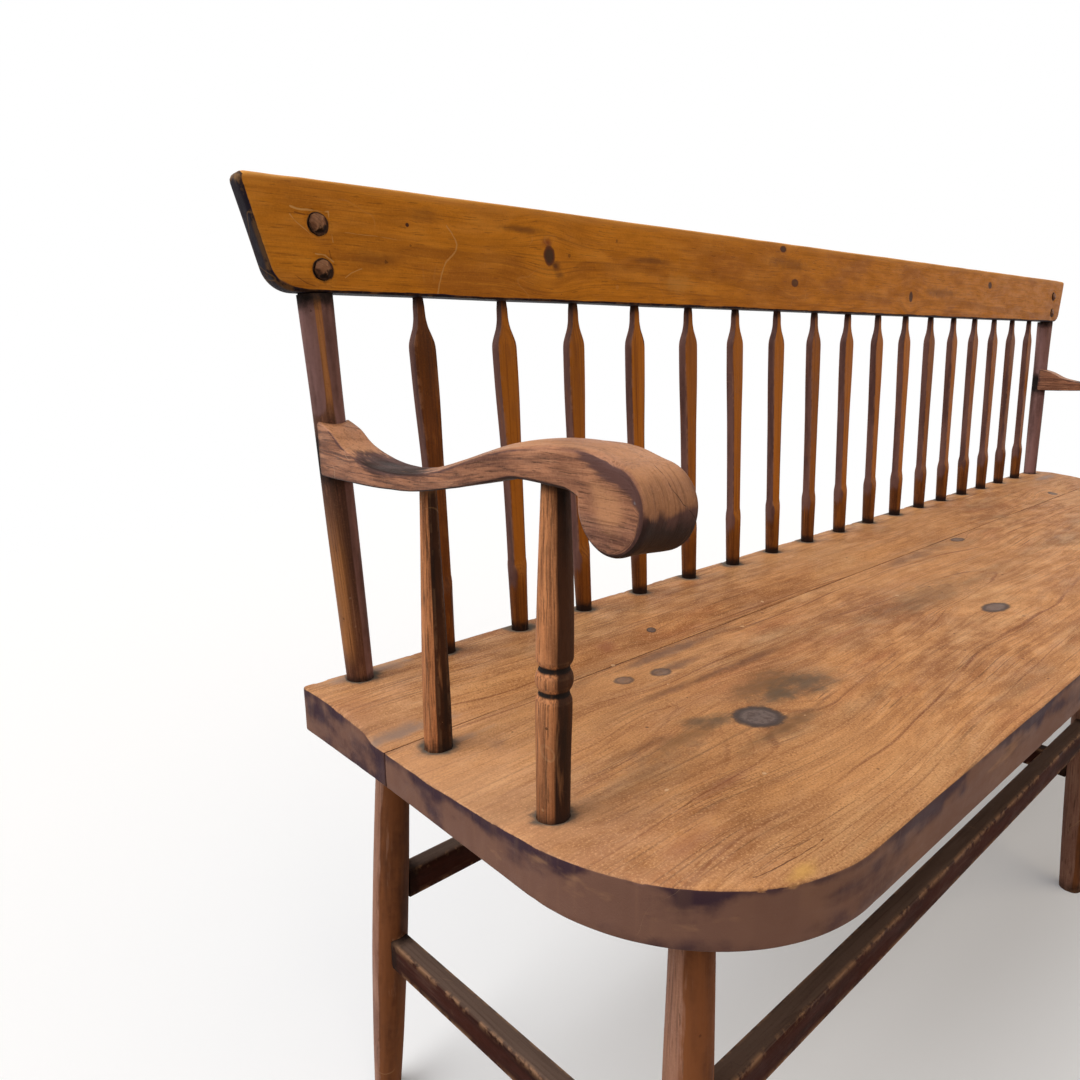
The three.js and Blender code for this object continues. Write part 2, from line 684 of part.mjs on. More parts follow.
const without = (solid, cutters) => cutters.reduce((rest, cutter) => rest.subtract(cutter), solid);
const sockets = (pieces) => pieces.map((piece) => piece.socket);

const sides = [['left', -1], ['right', 1]];
const posts = sides.map(([, side]) => makePost(side));
const arms = sides.map(([, side], i) => makeArm(side, posts[i]));
const armPosts = sides.map(([, side]) => makeUpright(
  side, ARM_POST_SETBACK, ARM_POST_FOOT_INSET, ARM_POST_HEAD_INSET, armPostStations, ARM_POST_SIDES, 0,
));
const shorts = sides.map(([, side]) => makeUpright(
  side, SHORT_SETBACK, SHORT_INSET, SHORT_INSET, shortStations, SHORT_SIDES, 0.5,
));
const pegs = posts.map((post) => PEG_HEIGHTS.map((height) => makePeg(post, height)));
const columns = [['left', -1], ['middle', 0], ['right', 1]];
const rearLegs = columns.map(([, column]) => makeLeg(column, true));
const frontLegs = columns.map(([, column]) => makeLeg(column, false));
const longHeight = SEAT_HEIGHT - LONG_STRETCHER_DROP;
const crossHeight = SEAT_HEIGHT - CROSS_STRETCHER_DROP;
const rearStretchers = [0, 1].map((i) => makeStretcher(rearLegs[i], rearLegs[i + 1], longHeight));
const frontStretchers = [0, 1].map((i) => makeStretcher(frontLegs[i], frontLegs[i + 1], longHeight));
const crossStretchers = columns.map((_, i) => makeStretcher(rearLegs[i], frontLegs[i], crossHeight));
const dowels = Array.from({ length: SEAT_DOWELS }, (_, i) => makeDowel(i + 1));

const standing = [...spindles, ...posts, ...armPosts, ...shorts, ...rearLegs, ...frontLegs, ...dowels];
const slab = without(seatSlab(), sockets(standing));
const seam = REAR_BOARD_DEPTH;
const seatFrame = new THREE.Matrix4().setPosition(0, 0, SEAT_HEIGHT);
add('seat_rear_board', halfOfSeat(slab, -OVERRUN, seam - SEAM_WIDTH / 2), seatFrame, 0xbd8a5d, 0.62);
add('seat_front_board', halfOfSeat(slab, seam + SEAM_WIDTH / 2, SEAT_DEPTH + OVERRUN), seatFrame, 0xc08d5c, 0.6);
dowels.forEach((dowel, i) => add(`seat_dowel_${i + 1}`, dowel.solid, dowel.frame, 0xc8a172, 0.8));

const crestCuts = [...sockets(spindles), ...sockets(posts), ...sockets(pegs.flat())];
add('crest_rail', without(solidOf(crestGeometry(), crestFrame), crestCuts), crestFrame, 0xa0651f, 0.5);
spindles.forEach((spindle, i) => {
  add(`spindle_${String(i + 1).padStart(2, '0')}`, spindle.solid, spindle.frame, 0x7a4a2a, 0.48);
});

sides.forEach(([name], i) => {
  const [post, arm] = [posts[i], arms[i]];
  const postCuts = [arm.tenon.socket, ...sockets(pegs[i])];
  add(`back_post_${name}`, without(post.solid, postCuts), post.frame, 0x6b4433, 0.55);
  const coped = without(arm.body, [post.socket, armPosts[i].socket, shorts[i].socket]);
  add(`arm_${name}`, coped.add(arm.tenon.solid), arm.frame, 0x9a6642, 0.5);
  add(`arm_post_${name}`, armPosts[i].solid, armPosts[i].frame, 0xa06a40, 0.55);
  add(`arm_spindle_${name}`, shorts[i].solid, shorts[i].frame, 0x8d5c3c, 0.55);
  ['lower', 'upper'].forEach((level, j) => {
    add(`crest_peg_${name}_${level}`, pegs[i][j].solid, pegs[i][j].frame, 0x5a3a24, 0.5);
  });
});

columns.forEach(([name], i) => {
  const mortises = (long) => sockets([...long.slice(Math.max(i - 1, 0), i + 1), crossStretchers[i]]);
  const [rear, front] = [rearLegs[i], frontLegs[i]];
  add(`leg_rear_${name}`, without(rear.solid, mortises(rearStretchers)), rear.frame, 0x765243, 0.6);
  add(`leg_front_${name}`, without(front.solid, mortises(frontStretchers)), front.frame, 0x765243, 0.6);
  add(`stretcher_cross_${name}`, crossStretchers[i].solid, crossStretchers[i].frame, 0x5b4033, 0.65);
});
sides.forEach(([name], i) => {
  add(`stretcher_rear_${name}`, rearStretchers[i].solid, rearStretchers[i].frame, 0x5b4033, 0.65);
  add(`stretcher_front_${name}`, frontStretchers[i].solid, frontStretchers[i].frame, 0x5b4033, 0.65);
});

// The origin is under the middle of the whole bench, on the floor.
bench.updateMatrixWorld(true);
const extent = new THREE.Box3().setFromObject(bench, true);
const middle = extent.getCenter(new THREE.Vector3());
bench.position.set(-middle.x, -middle.y, -extent.min.z);

export default bench;
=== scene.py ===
"""The looks of an old deacons bench: hand-shaved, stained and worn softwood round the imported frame.

Metres, in the frame's own axes: X along the bench, Y towards its back, Z up."""

import itertools
import math
from types import SimpleNamespace

import bmesh
import bpy
import numpy as np
from mathutils import Matrix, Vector
from mathutils.geometry import delaunay_2d_cdt


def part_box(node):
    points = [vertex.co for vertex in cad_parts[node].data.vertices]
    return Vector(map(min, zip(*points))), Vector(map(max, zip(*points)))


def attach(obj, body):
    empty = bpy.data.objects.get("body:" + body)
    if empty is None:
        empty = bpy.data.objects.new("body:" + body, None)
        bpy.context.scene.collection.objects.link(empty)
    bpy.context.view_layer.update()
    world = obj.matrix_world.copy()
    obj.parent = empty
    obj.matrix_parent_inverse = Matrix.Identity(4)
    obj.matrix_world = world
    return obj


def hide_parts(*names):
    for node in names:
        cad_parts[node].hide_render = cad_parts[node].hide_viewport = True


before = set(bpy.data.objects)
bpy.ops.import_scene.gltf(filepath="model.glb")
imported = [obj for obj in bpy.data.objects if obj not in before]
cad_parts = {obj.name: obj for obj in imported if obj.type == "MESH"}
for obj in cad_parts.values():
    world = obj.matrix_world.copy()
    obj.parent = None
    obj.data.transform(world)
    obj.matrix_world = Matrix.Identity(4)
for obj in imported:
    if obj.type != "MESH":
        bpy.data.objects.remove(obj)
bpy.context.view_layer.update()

MM = 0.001
DEGREE = math.pi / 180

# Places, from the frame
SEAT_LOW, SEAT_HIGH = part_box("seat_rear_board")
END = SEAT_HIGH.x
SEAT_BACK = SEAT_HIGH.y
SEAT_TOP = SEAT_HIGH.z
SEAT_BOTTOM = SEAT_LOW.z
SEAT_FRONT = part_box("seat_front_board")[0].y
SEAM_BACK = SEAT_LOW.y
SEAM_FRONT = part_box("seat_front_board")[1].y
SEAT_DEPTH = SEAT_BACK - SEAT_FRONT
SEAT_THICKNESS = SEAT_TOP - SEAT_BOTTOM + 1.4 * MM
SEAT_END_SKEW = 2.8 * MM
SIDES = (("left", -1), ("right", 1))
COLUMNS = (("left", -1), ("middle", 0), ("right", 1))

# Fits and mesh sizes
SOCKET_GAP = 0.35 * MM
BAR_SIDES = 48
RING_STEP = 3.2 * MM
FINE_RING_STEP = 1.0 * MM

# Seat
SEAT_CORNER_RADIUS = 150 * MM
SEAT_BACK_RADIUS = 4 * MM
SEAM_CORNER_RADIUS = 1.2 * MM
SEAT_TOP_EASE = 1.8 * MM
SEAT_WORN_EASE = 4.5 * MM
SEAM_EASE = 1.0 * MM
SEAT_LOWER_EASE = 1.8 * MM
DISH_DEPTH = 11.5 * MM
# The worn hollow across the seat: share of its depth from the back, share of the dish.
DISH_SHARES = (
    (0, 0), (0.09, 0), (0.16, 0.12), (0.224, 0.38), (0.262, 0.93), (0.3, 1),
    (0.458, 0.84), (0.557, 0.65), (0.675, 0.27), (0.77, 0.04), (0.84, 0), (1, 0),
)
SEAT_WAVE = 0.3 * MM

# Spindles, posts and crest rail
SPINDLES = 17
SPINDLE_SOCKET = 28 * MM
SPINDLE_HEAD_SOCKET = 18 * MM
SPINDLE_FOOT = 18.4 * MM
SPINDLE_KNUCKLE = 20.6 * MM
SPINDLE_WAIST = 16.6 * MM
SPINDLE_WIDTH = 24.8 * MM
SPINDLE_THICKNESS = 11 * MM
SPINDLE_NECK = 7.8 * MM
KNUCKLE_HEIGHT = 60 * MM
SHAVING_RUN = 19 * MM
SHOULDER_DROP = 47 * MM
FOOT_TAPER_SHARE = 0.92
BLADE_SHARES = ((0, 0), (0.5, 0.24), (1, 1))
SHOULDER_SHARES = ((0.1, 0.08), (0.3, 0.46), (0.46, 0.78), (0.66, 0.95), (1, 1))
# How far each spindle bows sideways, from the left.
SPINDLE_BOWS = tuple(sideways * MM for sideways in (
    1.9, 1.8, -2.6, -1.6, 0, 0.4, -0.3, 0.8, -0.9, 0.6, 1.1, -0.7, 0.2, -1.2, 0.9, -0.4, 0.7))
# How far each spindle's front is rubbed back to golden wood, from the left.
SPINDLE_RUB_SHARES = (
    0.06, 0.62, 0.6, 0.98, 0.78, 0.72, 0.9, 0.55, 0.8, 0.7, 0.92, 0.5, 0.85, 0.66, 0.78, 0.4, 0.6)

BACK_INSET = 16 * MM
BACK_RISE = 338.3 * MM
BACK_RAKE = 14.2 * MM
POST_SOCKET = 32 * MM
POST_TENON_LENGTH = 64 * MM
POST_FOOT = 25 * MM
POST_AT_ARM = 27.7 * MM
POST_HEAD = 30.4 * MM
POST_FLAT_SHARE = 0.88
POST_FLAT_START = 30 * MM
POST_TURN = 12 * DEGREE
POST_TENON_WIDTH = 28 * MM
POST_TENON_THICKNESS = 12 * MM
POST_SHOULDER_GAP = 0.7 * MM

CREST_HEIGHT = 86.8 * MM
CREST_THICKNESS = 21 * MM
CREST_SET_FORWARD = 3 * MM
CREST_TOP_OVERHANG = 26 * MM
CREST_END_SLANT = 23 * MM
CREST_TOP_RADIUS = 6 * MM
CREST_LOWER_RADIUS = 24 * MM
CREST_EASE = 2.6 * MM
PEG_HEAD = 18 * MM
PEG_TAIL = 12.5 * MM
PEG_PROUD = 3.2 * MM
PEG_LEVELS = ("lower", "upper")
# The facets whittled on a peg's head: degrees round it, slope.
PEG_FACETS = ((20, 0.75), (85, 0.5), (150, 0.6), (215, 0.8), (268, 0.95), (325, 0.9))

# Arms
ARM_CROWN = 243.3 * MM
ARM_REACH = 388 * MM
ARM_WIDTH_BACK = 29 * MM
ARM_WIDTH_SCROLL = 43.6 * MM
ARM_EASE = 2.4 * MM
ARM_CHEEK_SETBACK = 1.5 * MM
ARM_JOINT_SHARE = 0.86
ARM_BACK_RADIUS = 5 * MM
SCROLL_RADIUS = 25.4 * MM
SCROLL_DROP = 5.3 * MM
SCROLL_ANGLES = (78 * DEGREE, -188 * DEGREE)
ARM_TOP_CROWN = 3.2 * MM
ARM_TOP_CROWN_SHARES = ((0, 0), (0.22, 0), (0.4, 0.75), (0.56, 1), (0.72, 0.85), (0.9, 0.2), (1, 0))
ARM_OUTER_EASE = 4.4 * MM
ARM_BAND = 3.4 * MM
SCROLL_BAND = 14 * MM
ARM_GRAIN_FOLLOW = 0.6
SCROLL_INNER_DROP = 2.2 * MM
# Top edge, then the underside: share of the reach, share of the crown.
ARM_TOP_SHARES = (
    (0.0832, 0.939), (0.147, 0.888), (0.2407, 0.853), (0.327, 0.846), (0.4082, 0.8545),
    (0.4832, 0.8746), (0.5626, 0.9083), (0.6804, 0.9634), (0.768, 0.9885), (0.845, 0.9995), (0.8967, 0.9965),
)
ARM_UNDER_SHARES = (
    (0.846, 0.8985), (0.786, 0.9018), (0.72, 0.9), (0.64, 0.871), (0.543, 0.8376),
    (0.4307, 0.8052), (0.3232, 0.7904), (0.1706, 0.7789),
)
# The middle between the two, from the back: share of the crown at each place of the underside.
ARM_MIDDLE_SHARES = (0.82, 0.822, 0.832, 0.858, 0.905, 0.93, 0.946, 0.948)
ARM_BACK_TOP_SHARE = 0.969
ARM_BACK_UNDER_SHARE = 0.7735

ARM_POST_SETBACK = 295.5 * MM
ARM_POST_FOOT = 22.8 * MM
ARM_POST_SOCKET = 28 * MM
ARM_POST_TENON = 14 * MM
ARM_POST_TENON_LENGTH = 13 * MM
ARM_POST_HEAD = 17.8 * MM
# The turning: height above the seat, diameter.
ARM_POST_TURNING = tuple((height * MM, diameter * MM) for height, diameter in (
    (45, 23.6), (76, 24.4), (82.4, 24.2), (84.2, 23.2), (87, 20.9), (88.6, 20.2), (90, 21.2), (92, 23.4),
    (94.2, 24.8), (96.8, 25.2), (99.4, 24.7), (101.4, 23.2), (103.2, 21.2), (104.8, 20.2), (106.4, 20.9),
    (108.6, 23.6), (111, 24.9), (116, 24.8), (150, 23.6),
))
ARM_POST_GROOVES = (88.6 * MM, 104.8 * MM)
ARM_POST_RING = (80 * MM, 114 * MM)
# How far the arm post's head stands in from its CAD node towards the seat's middle, and forward of it.
ARM_POST_LEAN = (1.3 * MM, 1 * MM)
SHORT_FOOT = 23 * MM
SHORT_HEAD = 13 * MM
SHORT_SOCKET = 24 * MM
SHORT_TENON = 9 * MM
SHORT_TENON_LENGTH = 7 * MM

# Legs and stretchers
LEG_NECK = 27 * MM
LEG_UPPER = 31 * MM
LEG_BELLY = 35.5 * MM
LEG_ANKLE = 32 * MM
LEG_FOOT = 27 * MM
LEG_SOCKET = 27 * MM
LEG_UPPER_DROP = 34 * MM
LEG_BELLY_SHARE = 0.47
LEG_ANKLE_SHARE = 0.2
STRETCHER_THICKNESS = 18 * MM
STRETCHER_HEIGHT = 30 * MM
STRETCHER_TENON = 13 * MM
STRETCHER_SHOULDER = 11 * MM
DOWEL_DIAMETER = 12 * MM


# Numbers

def value_noise(points, wavelength, seed):
    """Smooth noise from -1 to 1 at points, with about one bump in each wavelength."""
    size = 32
    table = np.random.default_rng(seed).uniform(-1, 1, (size, size, size))
    places = np.asarray(points) / wavelength
    cell = np.floor(places).astype(int)
    part = places - cell
    part = part * part * (3 - 2 * part)
    total = np.zeros(len(places))
    for corner in itertools.product((0, 1), repeat=3):
        weight = np.where(corner, part, 1 - part).prod(axis=1)
        i, j, k = ((cell + corner) % size).T
        total += weight * table[i, j, k]
    return total


def rise(value, low, high):
    """0 below low and 1 above high, with a smooth step between."""
    t = np.clip((np.asarray(value, float) - low) / (high - low), 0, 1)
    return t * t * (3 - 2 * t)


def smooth_curve(stations, at):
    """Values at places on a curve through stations that never swings past them."""
    x, y = np.array(sorted(stations), float).T
    step = np.diff(x)
    slope = np.diff(y) / step
    product = slope[1:] * slope[:-1]
    middle = np.where(product > 0, 2 * product / (slope[1:] + slope[:-1] + 1e-12), 0)
    tangent = np.concatenate([slope[:1], middle, slope[-1:]])
    at = np.clip(at, x[0], x[-1])
    i = np.clip(np.searchsorted(x, at) - 1, 0, len(step) - 1)
    h = step[i]
    t = (at - x[i]) / h
    return (
        (1 + 2 * t) * (1 - t) ** 2 * y[i] + t * (1 - t) ** 2 * h * tangent[i]
        + t * t * (3 - 2 * t) * y[i + 1] + t * t * (t - 1) * h * tangent[i + 1]
    )


class Axes:
    """A piece's own axes: local points go out to the bench's frame, and back in."""

    def __init__(self, origin, z, up):
        z = np.array(z, float) / np.linalg.norm(z)
        x = np.cross(up, z)
        x /= np.linalg.norm(x)
        self.origin = np.array(origin, float)
        self.basis = np.array([x, np.cross(z, x), z])

    def out(self, local):
        return np.asarray(local) @ self.basis + self.origin

    def into(self, points):
        return (np.asarray(points) - self.origin) @ self.basis.T

    def turn_in(self, directions):
        return np.asarray(directions) @ self.basis.T


UP = (0, 0, 1)
BACKWARD = (0, 1, 0)
crest_lean = math.atan(BACK_RAKE / BACK_RISE)
crest_up = np.array([0, math.sin(crest_lean), math.cos(crest_lean)])
crest_front = np.array([0, -math.cos(crest_lean), math.sin(crest_lean)])
crest_axes = Axes((0, SEAT_BACK - BACK_INSET + BACK_RAKE - CREST_SET_FORWARD, SEAT_TOP + BACK_RISE),
                  crest_front, crest_up)


def ends_of(node, along):
    """Middles of a straight bar's two end faces, lower or leftmost first, from its CAD node."""
    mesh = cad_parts[node].data
    points = np.unique(np.round([v.co for v in mesh.vertices], 6), axis=0)
    reach = points[:, along]
    near = 2 * MM
    return points[reach < reach.min() + near].mean(0), points[reach > reach.max() - near].mean(0)


def stem(node, socket=0.0, along=2, up=BACKWARD):
    """A straight bar's axes, from where it leaves its lower socket, and its length, from its CAD node."""
    low, high = ends_of(node, along)
    length = np.linalg.norm(high - low)
    return Axes(low + (high - low) * socket / length, high - low, up), length


# Meshes

def mesh_from(name, vertices, faces):
    mesh = bpy.data.meshes.new(name)
    mesh.from_pydata([tuple(v) for v in vertices], [], [tuple(f) for f in faces])
    mesh.validate()
    probe = bmesh.new()
    probe.from_mesh(mesh)
    if probe.calc_volume(signed=True) < 0:
        mesh.flip_normals()
    probe.free()
    return mesh


def bar_mesh(name, axes, heights, section, grow=0.0):
    """Rings at heights along local Z, closed at both ends. section gives each ring's angles and radii."""
    angles, radii = section(heights, grow)
    rings, sides = radii.shape
    along = np.repeat(heights[:, None], sides, 1)
    local = np.stack([radii * np.cos(angles), radii * np.sin(angles), along], 2)
    vertices = list(local.reshape(-1, 3))
    faces = []
    for ring in range(rings - 1):
        for i in range(sides):
            a, b = ring * sides + i, ring * sides + (i + 1) % sides
            faces.append((a, b, b + sides, a + sides))
    for ring, order in ((0, -1), (rings - 1, 1)):
        centre = len(vertices)
        vertices.append(np.array([0, 0, heights[ring]]))
        for i in range(sides):
            pair = (ring * sides + i, ring * sides + (i + 1) % sides)[::order]
            faces.append((*pair, centre))
    return mesh_from(name, axes.out(vertices), faces)


def shaved(heights, round_radius, planes, seed, corner=None, grow=0.0, flats=10, depth_share=0.022,
           sides=BAR_SIDES, crispness=26):
    """Angles and radii of a round bar cut by flat planes, with the faint flats of a drawknife.

    planes are pairs of a direction and a distance from the axis at each height. corner is the angle of a
    blade's arrises, which the rings' points follow."""
    rng = np.random.default_rng(seed)
    share = np.linspace(0, 1, sides, endpoint=False)
    if corner is None:
        angles = np.repeat(2 * np.pi * share[None], len(heights), 0)
    else:
        quarter = np.array([0, 0.125, 0.375, 0.625, 0.875, 1])
        angles = np.array([
            np.interp(share, quarter, [0, c, np.pi - c, np.pi + c, 2 * np.pi - c, 2 * np.pi]) for c in corner
        ])
    inverse = (1 / round_radius[:, None]) ** crispness
    tool_marks = []
    for i in range(flats):
        direction = 2 * np.pi * (i + rng.uniform(-0.3, 0.3)) / flats
        track = np.stack([heights, np.full_like(heights, i), np.zeros_like(heights)], 1)
        wave = value_noise(track, np.array([70 * MM, 0.31, 1]), seed)
        tool_marks.append((direction, round_radius * (1 - depth_share * (0.6 + 0.55 * wave))))
    for direction, distance in [*planes, *tool_marks]:
        facing = np.maximum(np.cos(angles - direction), 1e-4)
        inverse = inverse + (facing / np.asarray(distance)[..., None]) ** crispness
    return angles, inverse ** (-1 / crispness) + grow


def heights_between(low, high, step, fine=()):
    """Ring heights from low to high, closer together inside each (from, to, step) stretch."""
    places = list(np.linspace(low, high, max(2, round((high - low) / step) + 1)))
    for start, stop, fine_step in fine:
        places = [z for z in places if not start <= z <= stop]
        places += list(np.linspace(start, stop, round((stop - start) / fine_step) + 1))
    return np.array(sorted(places))


def rounded_outline(corners, spacing):
    """A closed outline, anticlockwise, each corner rounded by its radius, with points a spacing apart."""
    points = []
    count = len(corners)
    for i, (x, y, radius) in enumerate(corners):
        corner = np.array([x, y])
        before = np.array(corners[i - 1][:2]) - corner
        after = np.array(corners[(i + 1) % count][:2]) - corner
        before /= np.linalg.norm(before)
        after /= np.linalg.norm(after)
        half = math.acos(np.clip(before @ after, -1, 1)) / 2
        reach = radius / math.tan(half)
        middle = before + after
        centre = corner + middle / np.linalg.norm(middle) * radius / math.sin(half)
        start = corner + before * reach - centre
        sweep = math.pi - 2 * half
        steps = max(4, round(radius * sweep / spacing))
        for step in range(steps + 1):
            turn = sweep * step / steps
            c, s = math.cos(turn), math.sin(turn)
            points.append(centre + np.array([c * start[0] - s * start[1], s * start[0] + c * start[1]]))
    return respaced(np.array(points), spacing)


def respaced(points, spacing):
    """The same closed outline with extra points wherever two are more than a spacing apart."""
    out = []
    for a, b in zip(points, np.roll(points, -1, axis=0)):
        steps = max(1, round(np.linalg.norm(b - a) / spacing))
        out += [a + (b - a) * k / steps for k in range(steps)]
    return np.array(out)


def inward(outline):
    """Unit vectors into an anticlockwise outline at each of its points."""
    along = np.roll(outline, -1, axis=0) - np.roll(outline, 1, axis=0)
    along /= np.linalg.norm(along, axis=1)[:, None]
    return np.stack([-along[:, 1], along[:, 0]], 1)


def room_inside(points, outline):
    """Distance from each point to the outline, or -1 outside it."""
    a, b = outline, np.roll(outline, -1, axis=0)
    room = np.empty(len(points))
    for part in np.array_split(np.arange(len(points)), len(points) // 500 + 1):
        p = points[part][:, None]
        t = np.clip(((p - a) * (b - a)).sum(2) / ((b - a) ** 2).sum(1), 0, 1)
        away = np.linalg.norm(a + t[..., None] * (b - a) - p, axis=2).min(1)
        crosses = (a[:, 1] > p[..., 1]) != (b[:, 1] > p[..., 1])
        rise_y = np.where(b[:, 1] == a[:, 1], 1, b[:, 1] - a[:, 1])
        left = p[..., 0] < a[:, 0] + (p[..., 1] - a[:, 1]) / rise_y * (b[:, 0] - a[:, 0])
        inside = (crosses & left).sum(1) % 2 == 1
        room[part] = np.where(inside, away, -1)
    return room


def plate_mesh(name, outline, rings, step, place, extra=()):
    """A board with an outline and a flat front and back, joined by rings of (inset, depth) round its edge.

    place takes the outline's two coordinates and the depth behind the front to the bench's frame."""
    normals = inward(outline)
    n = len(outline)
    loops = [(outline + normals * np.reshape(inset, (-1, 1)), np.broadcast_to(depth, n))
             for inset, depth in rings]
    spans = [np.arange(low, high, step) for low, high in zip(outline.min(0), outline.max(0))]
    grid = np.stack(np.meshgrid(*spans), 2).reshape(-1, 2)
    widest = max(np.max(inset) for inset, _ in rings)
    grid = grid[room_inside(grid, outline) > widest + step * 0.4]
    if len(extra):
        extra = extra[room_inside(extra, outline) > widest + step * 0.15]
        away = np.min([np.linalg.norm(grid - e, axis=1) for e in extra], axis=0)
        grid = np.vstack([grid[away > step * 0.45], extra])
    flat = np.vstack([loops[0][0], grid])
    found = delaunay_2d_cdt([tuple(p) for p in flat], [], [list(range(n))], 1, 1e-9)
    source = [origin[0] for origin in found[3]]
    triangles = [[source[v] for v in face] for face in found[2]]
    front = [(*p, d) for loop, depth in loops for p, d in zip(loop, depth)]
    inner = len(front)
    m = len(grid)
    vertices = front + [(*p, loops[0][1].min()) for p in grid] + [(*p, loops[-1][1].max()) for p in grid]
    last = (len(loops) - 1) * n
    faces = [[v if v < n else inner + v - n for v in t] for t in triangles]
    faces += [[last + v if v < n else inner + m + v - n for v in t[::-1]] for t in triangles]
    for ring in range(len(loops) - 1):
        for i in range(n):
            a, b = ring * n + i, ring * n + (i + 1) % n
            faces.append((a, a + n, b + n, b))
    return mesh_from(name, place(np.array(vertices)), faces)


def eased_rings(thickness, front_ease, back_ease, middle, turns=4):
    """Rings of (inset, depth) round a board's edge: an eased front arris, the edge, an eased back arris."""
    rings = []
    for i in range(turns + 1):
        angle = math.pi / 2 * i / turns
        rings.append((front_ease * (1 - math.sin(angle)), front_ease * (1 - math.cos(angle))))
    for i in range(1, middle):
        rings.append((0 * front_ease, front_ease + (thickness - front_ease - back_ease) * i / middle))
    for i in range(turns + 1):
        angle = math.pi / 2 * i / turns
        rings.append((back_ease * (1 - math.cos(angle)), thickness - back_ease * (1 - math.sin(angle))))
    return rings


def joined(meshes):
    """One mesh of several."""
    whole = bmesh.new()
    for mesh in meshes:
        whole.from_mesh(mesh)
    out = bpy.data.meshes.new("cutter")
    whole.to_mesh(out)
    whole.free()
    return out


def new_object(name, data):
    """A new object in the scene."""
    item = bpy.data.objects.new(name, data)
    bpy.context.scene.collection.objects.link(item)
    return item


def combine(piece, mesh, operation):
    """Takes a mesh out of a piece, or adds one that overlaps it, as one solid."""
    other = new_object("other", mesh)
    modifier = piece.modifiers.new("joinery", "BOOLEAN")
    modifier.operation = operation
    modifier.solver = "MANIFOLD"
    modifier.object = other
    bpy.context.view_layer.update()
    result = bpy.data.meshes.new_from_object(piece.evaluated_get(bpy.context.evaluated_depsgraph_get()))
    piece.modifiers.clear()
    piece.data = result
    bpy.data.objects.remove(other)


def cut(piece, cutters):
    """Takes the cutters, which don't touch each other, out of a piece."""
    combine(piece, joined(cutters), "DIFFERENCE")


def moved(mesh, change):
    """Moves a mesh's points by a function of their places and outward directions."""
    places, normals = places_and_normals(mesh)
    mesh.vertices.foreach_set("co", (places + change(places, normals)).ravel())
    mesh.update()
    return mesh


def places_and_normals(mesh):
    places = np.empty(len(mesh.vertices) * 3)
    mesh.vertices.foreach_get("co", places)
    normals = np.empty(len(mesh.vertices) * 3)
    mesh.vertex_normals.foreach_get("vector", normals)
    return places.reshape(-1, 3), normals.reshape(-1, 3)


def convexity(mesh, passes=2):
    """How far each point stands out from its neighbours: above 0 on an arris, below 0 in a groove."""
    places, normals = places_and_normals(mesh)
    edges = np.empty(len(mesh.edges) * 2, int)
    mesh.edges.foreach_get("vertices", edges)
    a, b = edges.reshape(-1, 2).T
    across = places[b] - places[a]
    across /= np.linalg.norm(across, axis=1)[:, None] + 1e-12
    count = np.bincount(np.concatenate([a, b]), minlength=len(places)).clip(1)
    stand = np.bincount(a, -(across * normals[a]).sum(1), len(places))
    stand += np.bincount(b, (across * normals[b]).sum(1), len(places))
    stand /= count
    for _ in range(passes):
        spread = np.bincount(a, stand[b], len(places)) + np.bincount(b, stand[a], len(places))
        stand = (stand + spread / count) / 2
    return stand


# Pieces

GRAIN_OFFSETS = np.array([3.0, 0.03, 0.03])
ALONG_Z = (2, 0, 1)
ALONG_X = (0, 1, 2)


def add_piece(name, mesh, material):
    """A piece that stands for the CAD node of the same name."""
    piece = new_object(f"{name}_worn", mesh)
    piece.data.materials.append(material)
    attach(piece, "root")
    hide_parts(name)
    return piece


def dress(piece, axes, grain_order, seed, masks, sharp_angle=38 * DEGREE, follow=None):
    """Gives a finished mesh its places along the grain and its amounts of wear, staining and soiling, with
    painted light and shade among them on some pieces.
    """
    mesh = piece.data
    places, normals = places_and_normals(mesh)
    local = axes.into(places)
    facing = axes.turn_in(normals)
    offset = np.random.default_rng(seed).uniform(-1, 1, 3) * GRAIN_OFFSETS
    vector = mesh.attributes.new("grain", "FLOAT_VECTOR", "POINT")
    fibres = follow(local) if follow else local
    vector.data.foreach_set("vector", (fibres[:, grain_order] + offset).astype(np.float32).ravel())
    plain = dict.fromkeys(("stain", "rubbed", "grime", "tone", "deep"), 0)
    amounts = {"edge": rise(convexity(mesh), 0.03, 0.16), **plain, **masks(local, facing)}
    for name, amount in amounts.items():
        value = mesh.attributes.new(name, "FLOAT", "POINT")
        value.data.foreach_set("value", np.broadcast_to(amount, len(places)).astype(np.float32))
    mesh.shade_smooth()
    mesh.set_sharp_from_angle(angle=sharp_angle)


def places_at(local, i):
    """Local places moved apart for each copy of a piece, so that no two share their noise."""
    return local + np.array([0.37, 0.61, 0.83]) * (i + 1)


# Materials

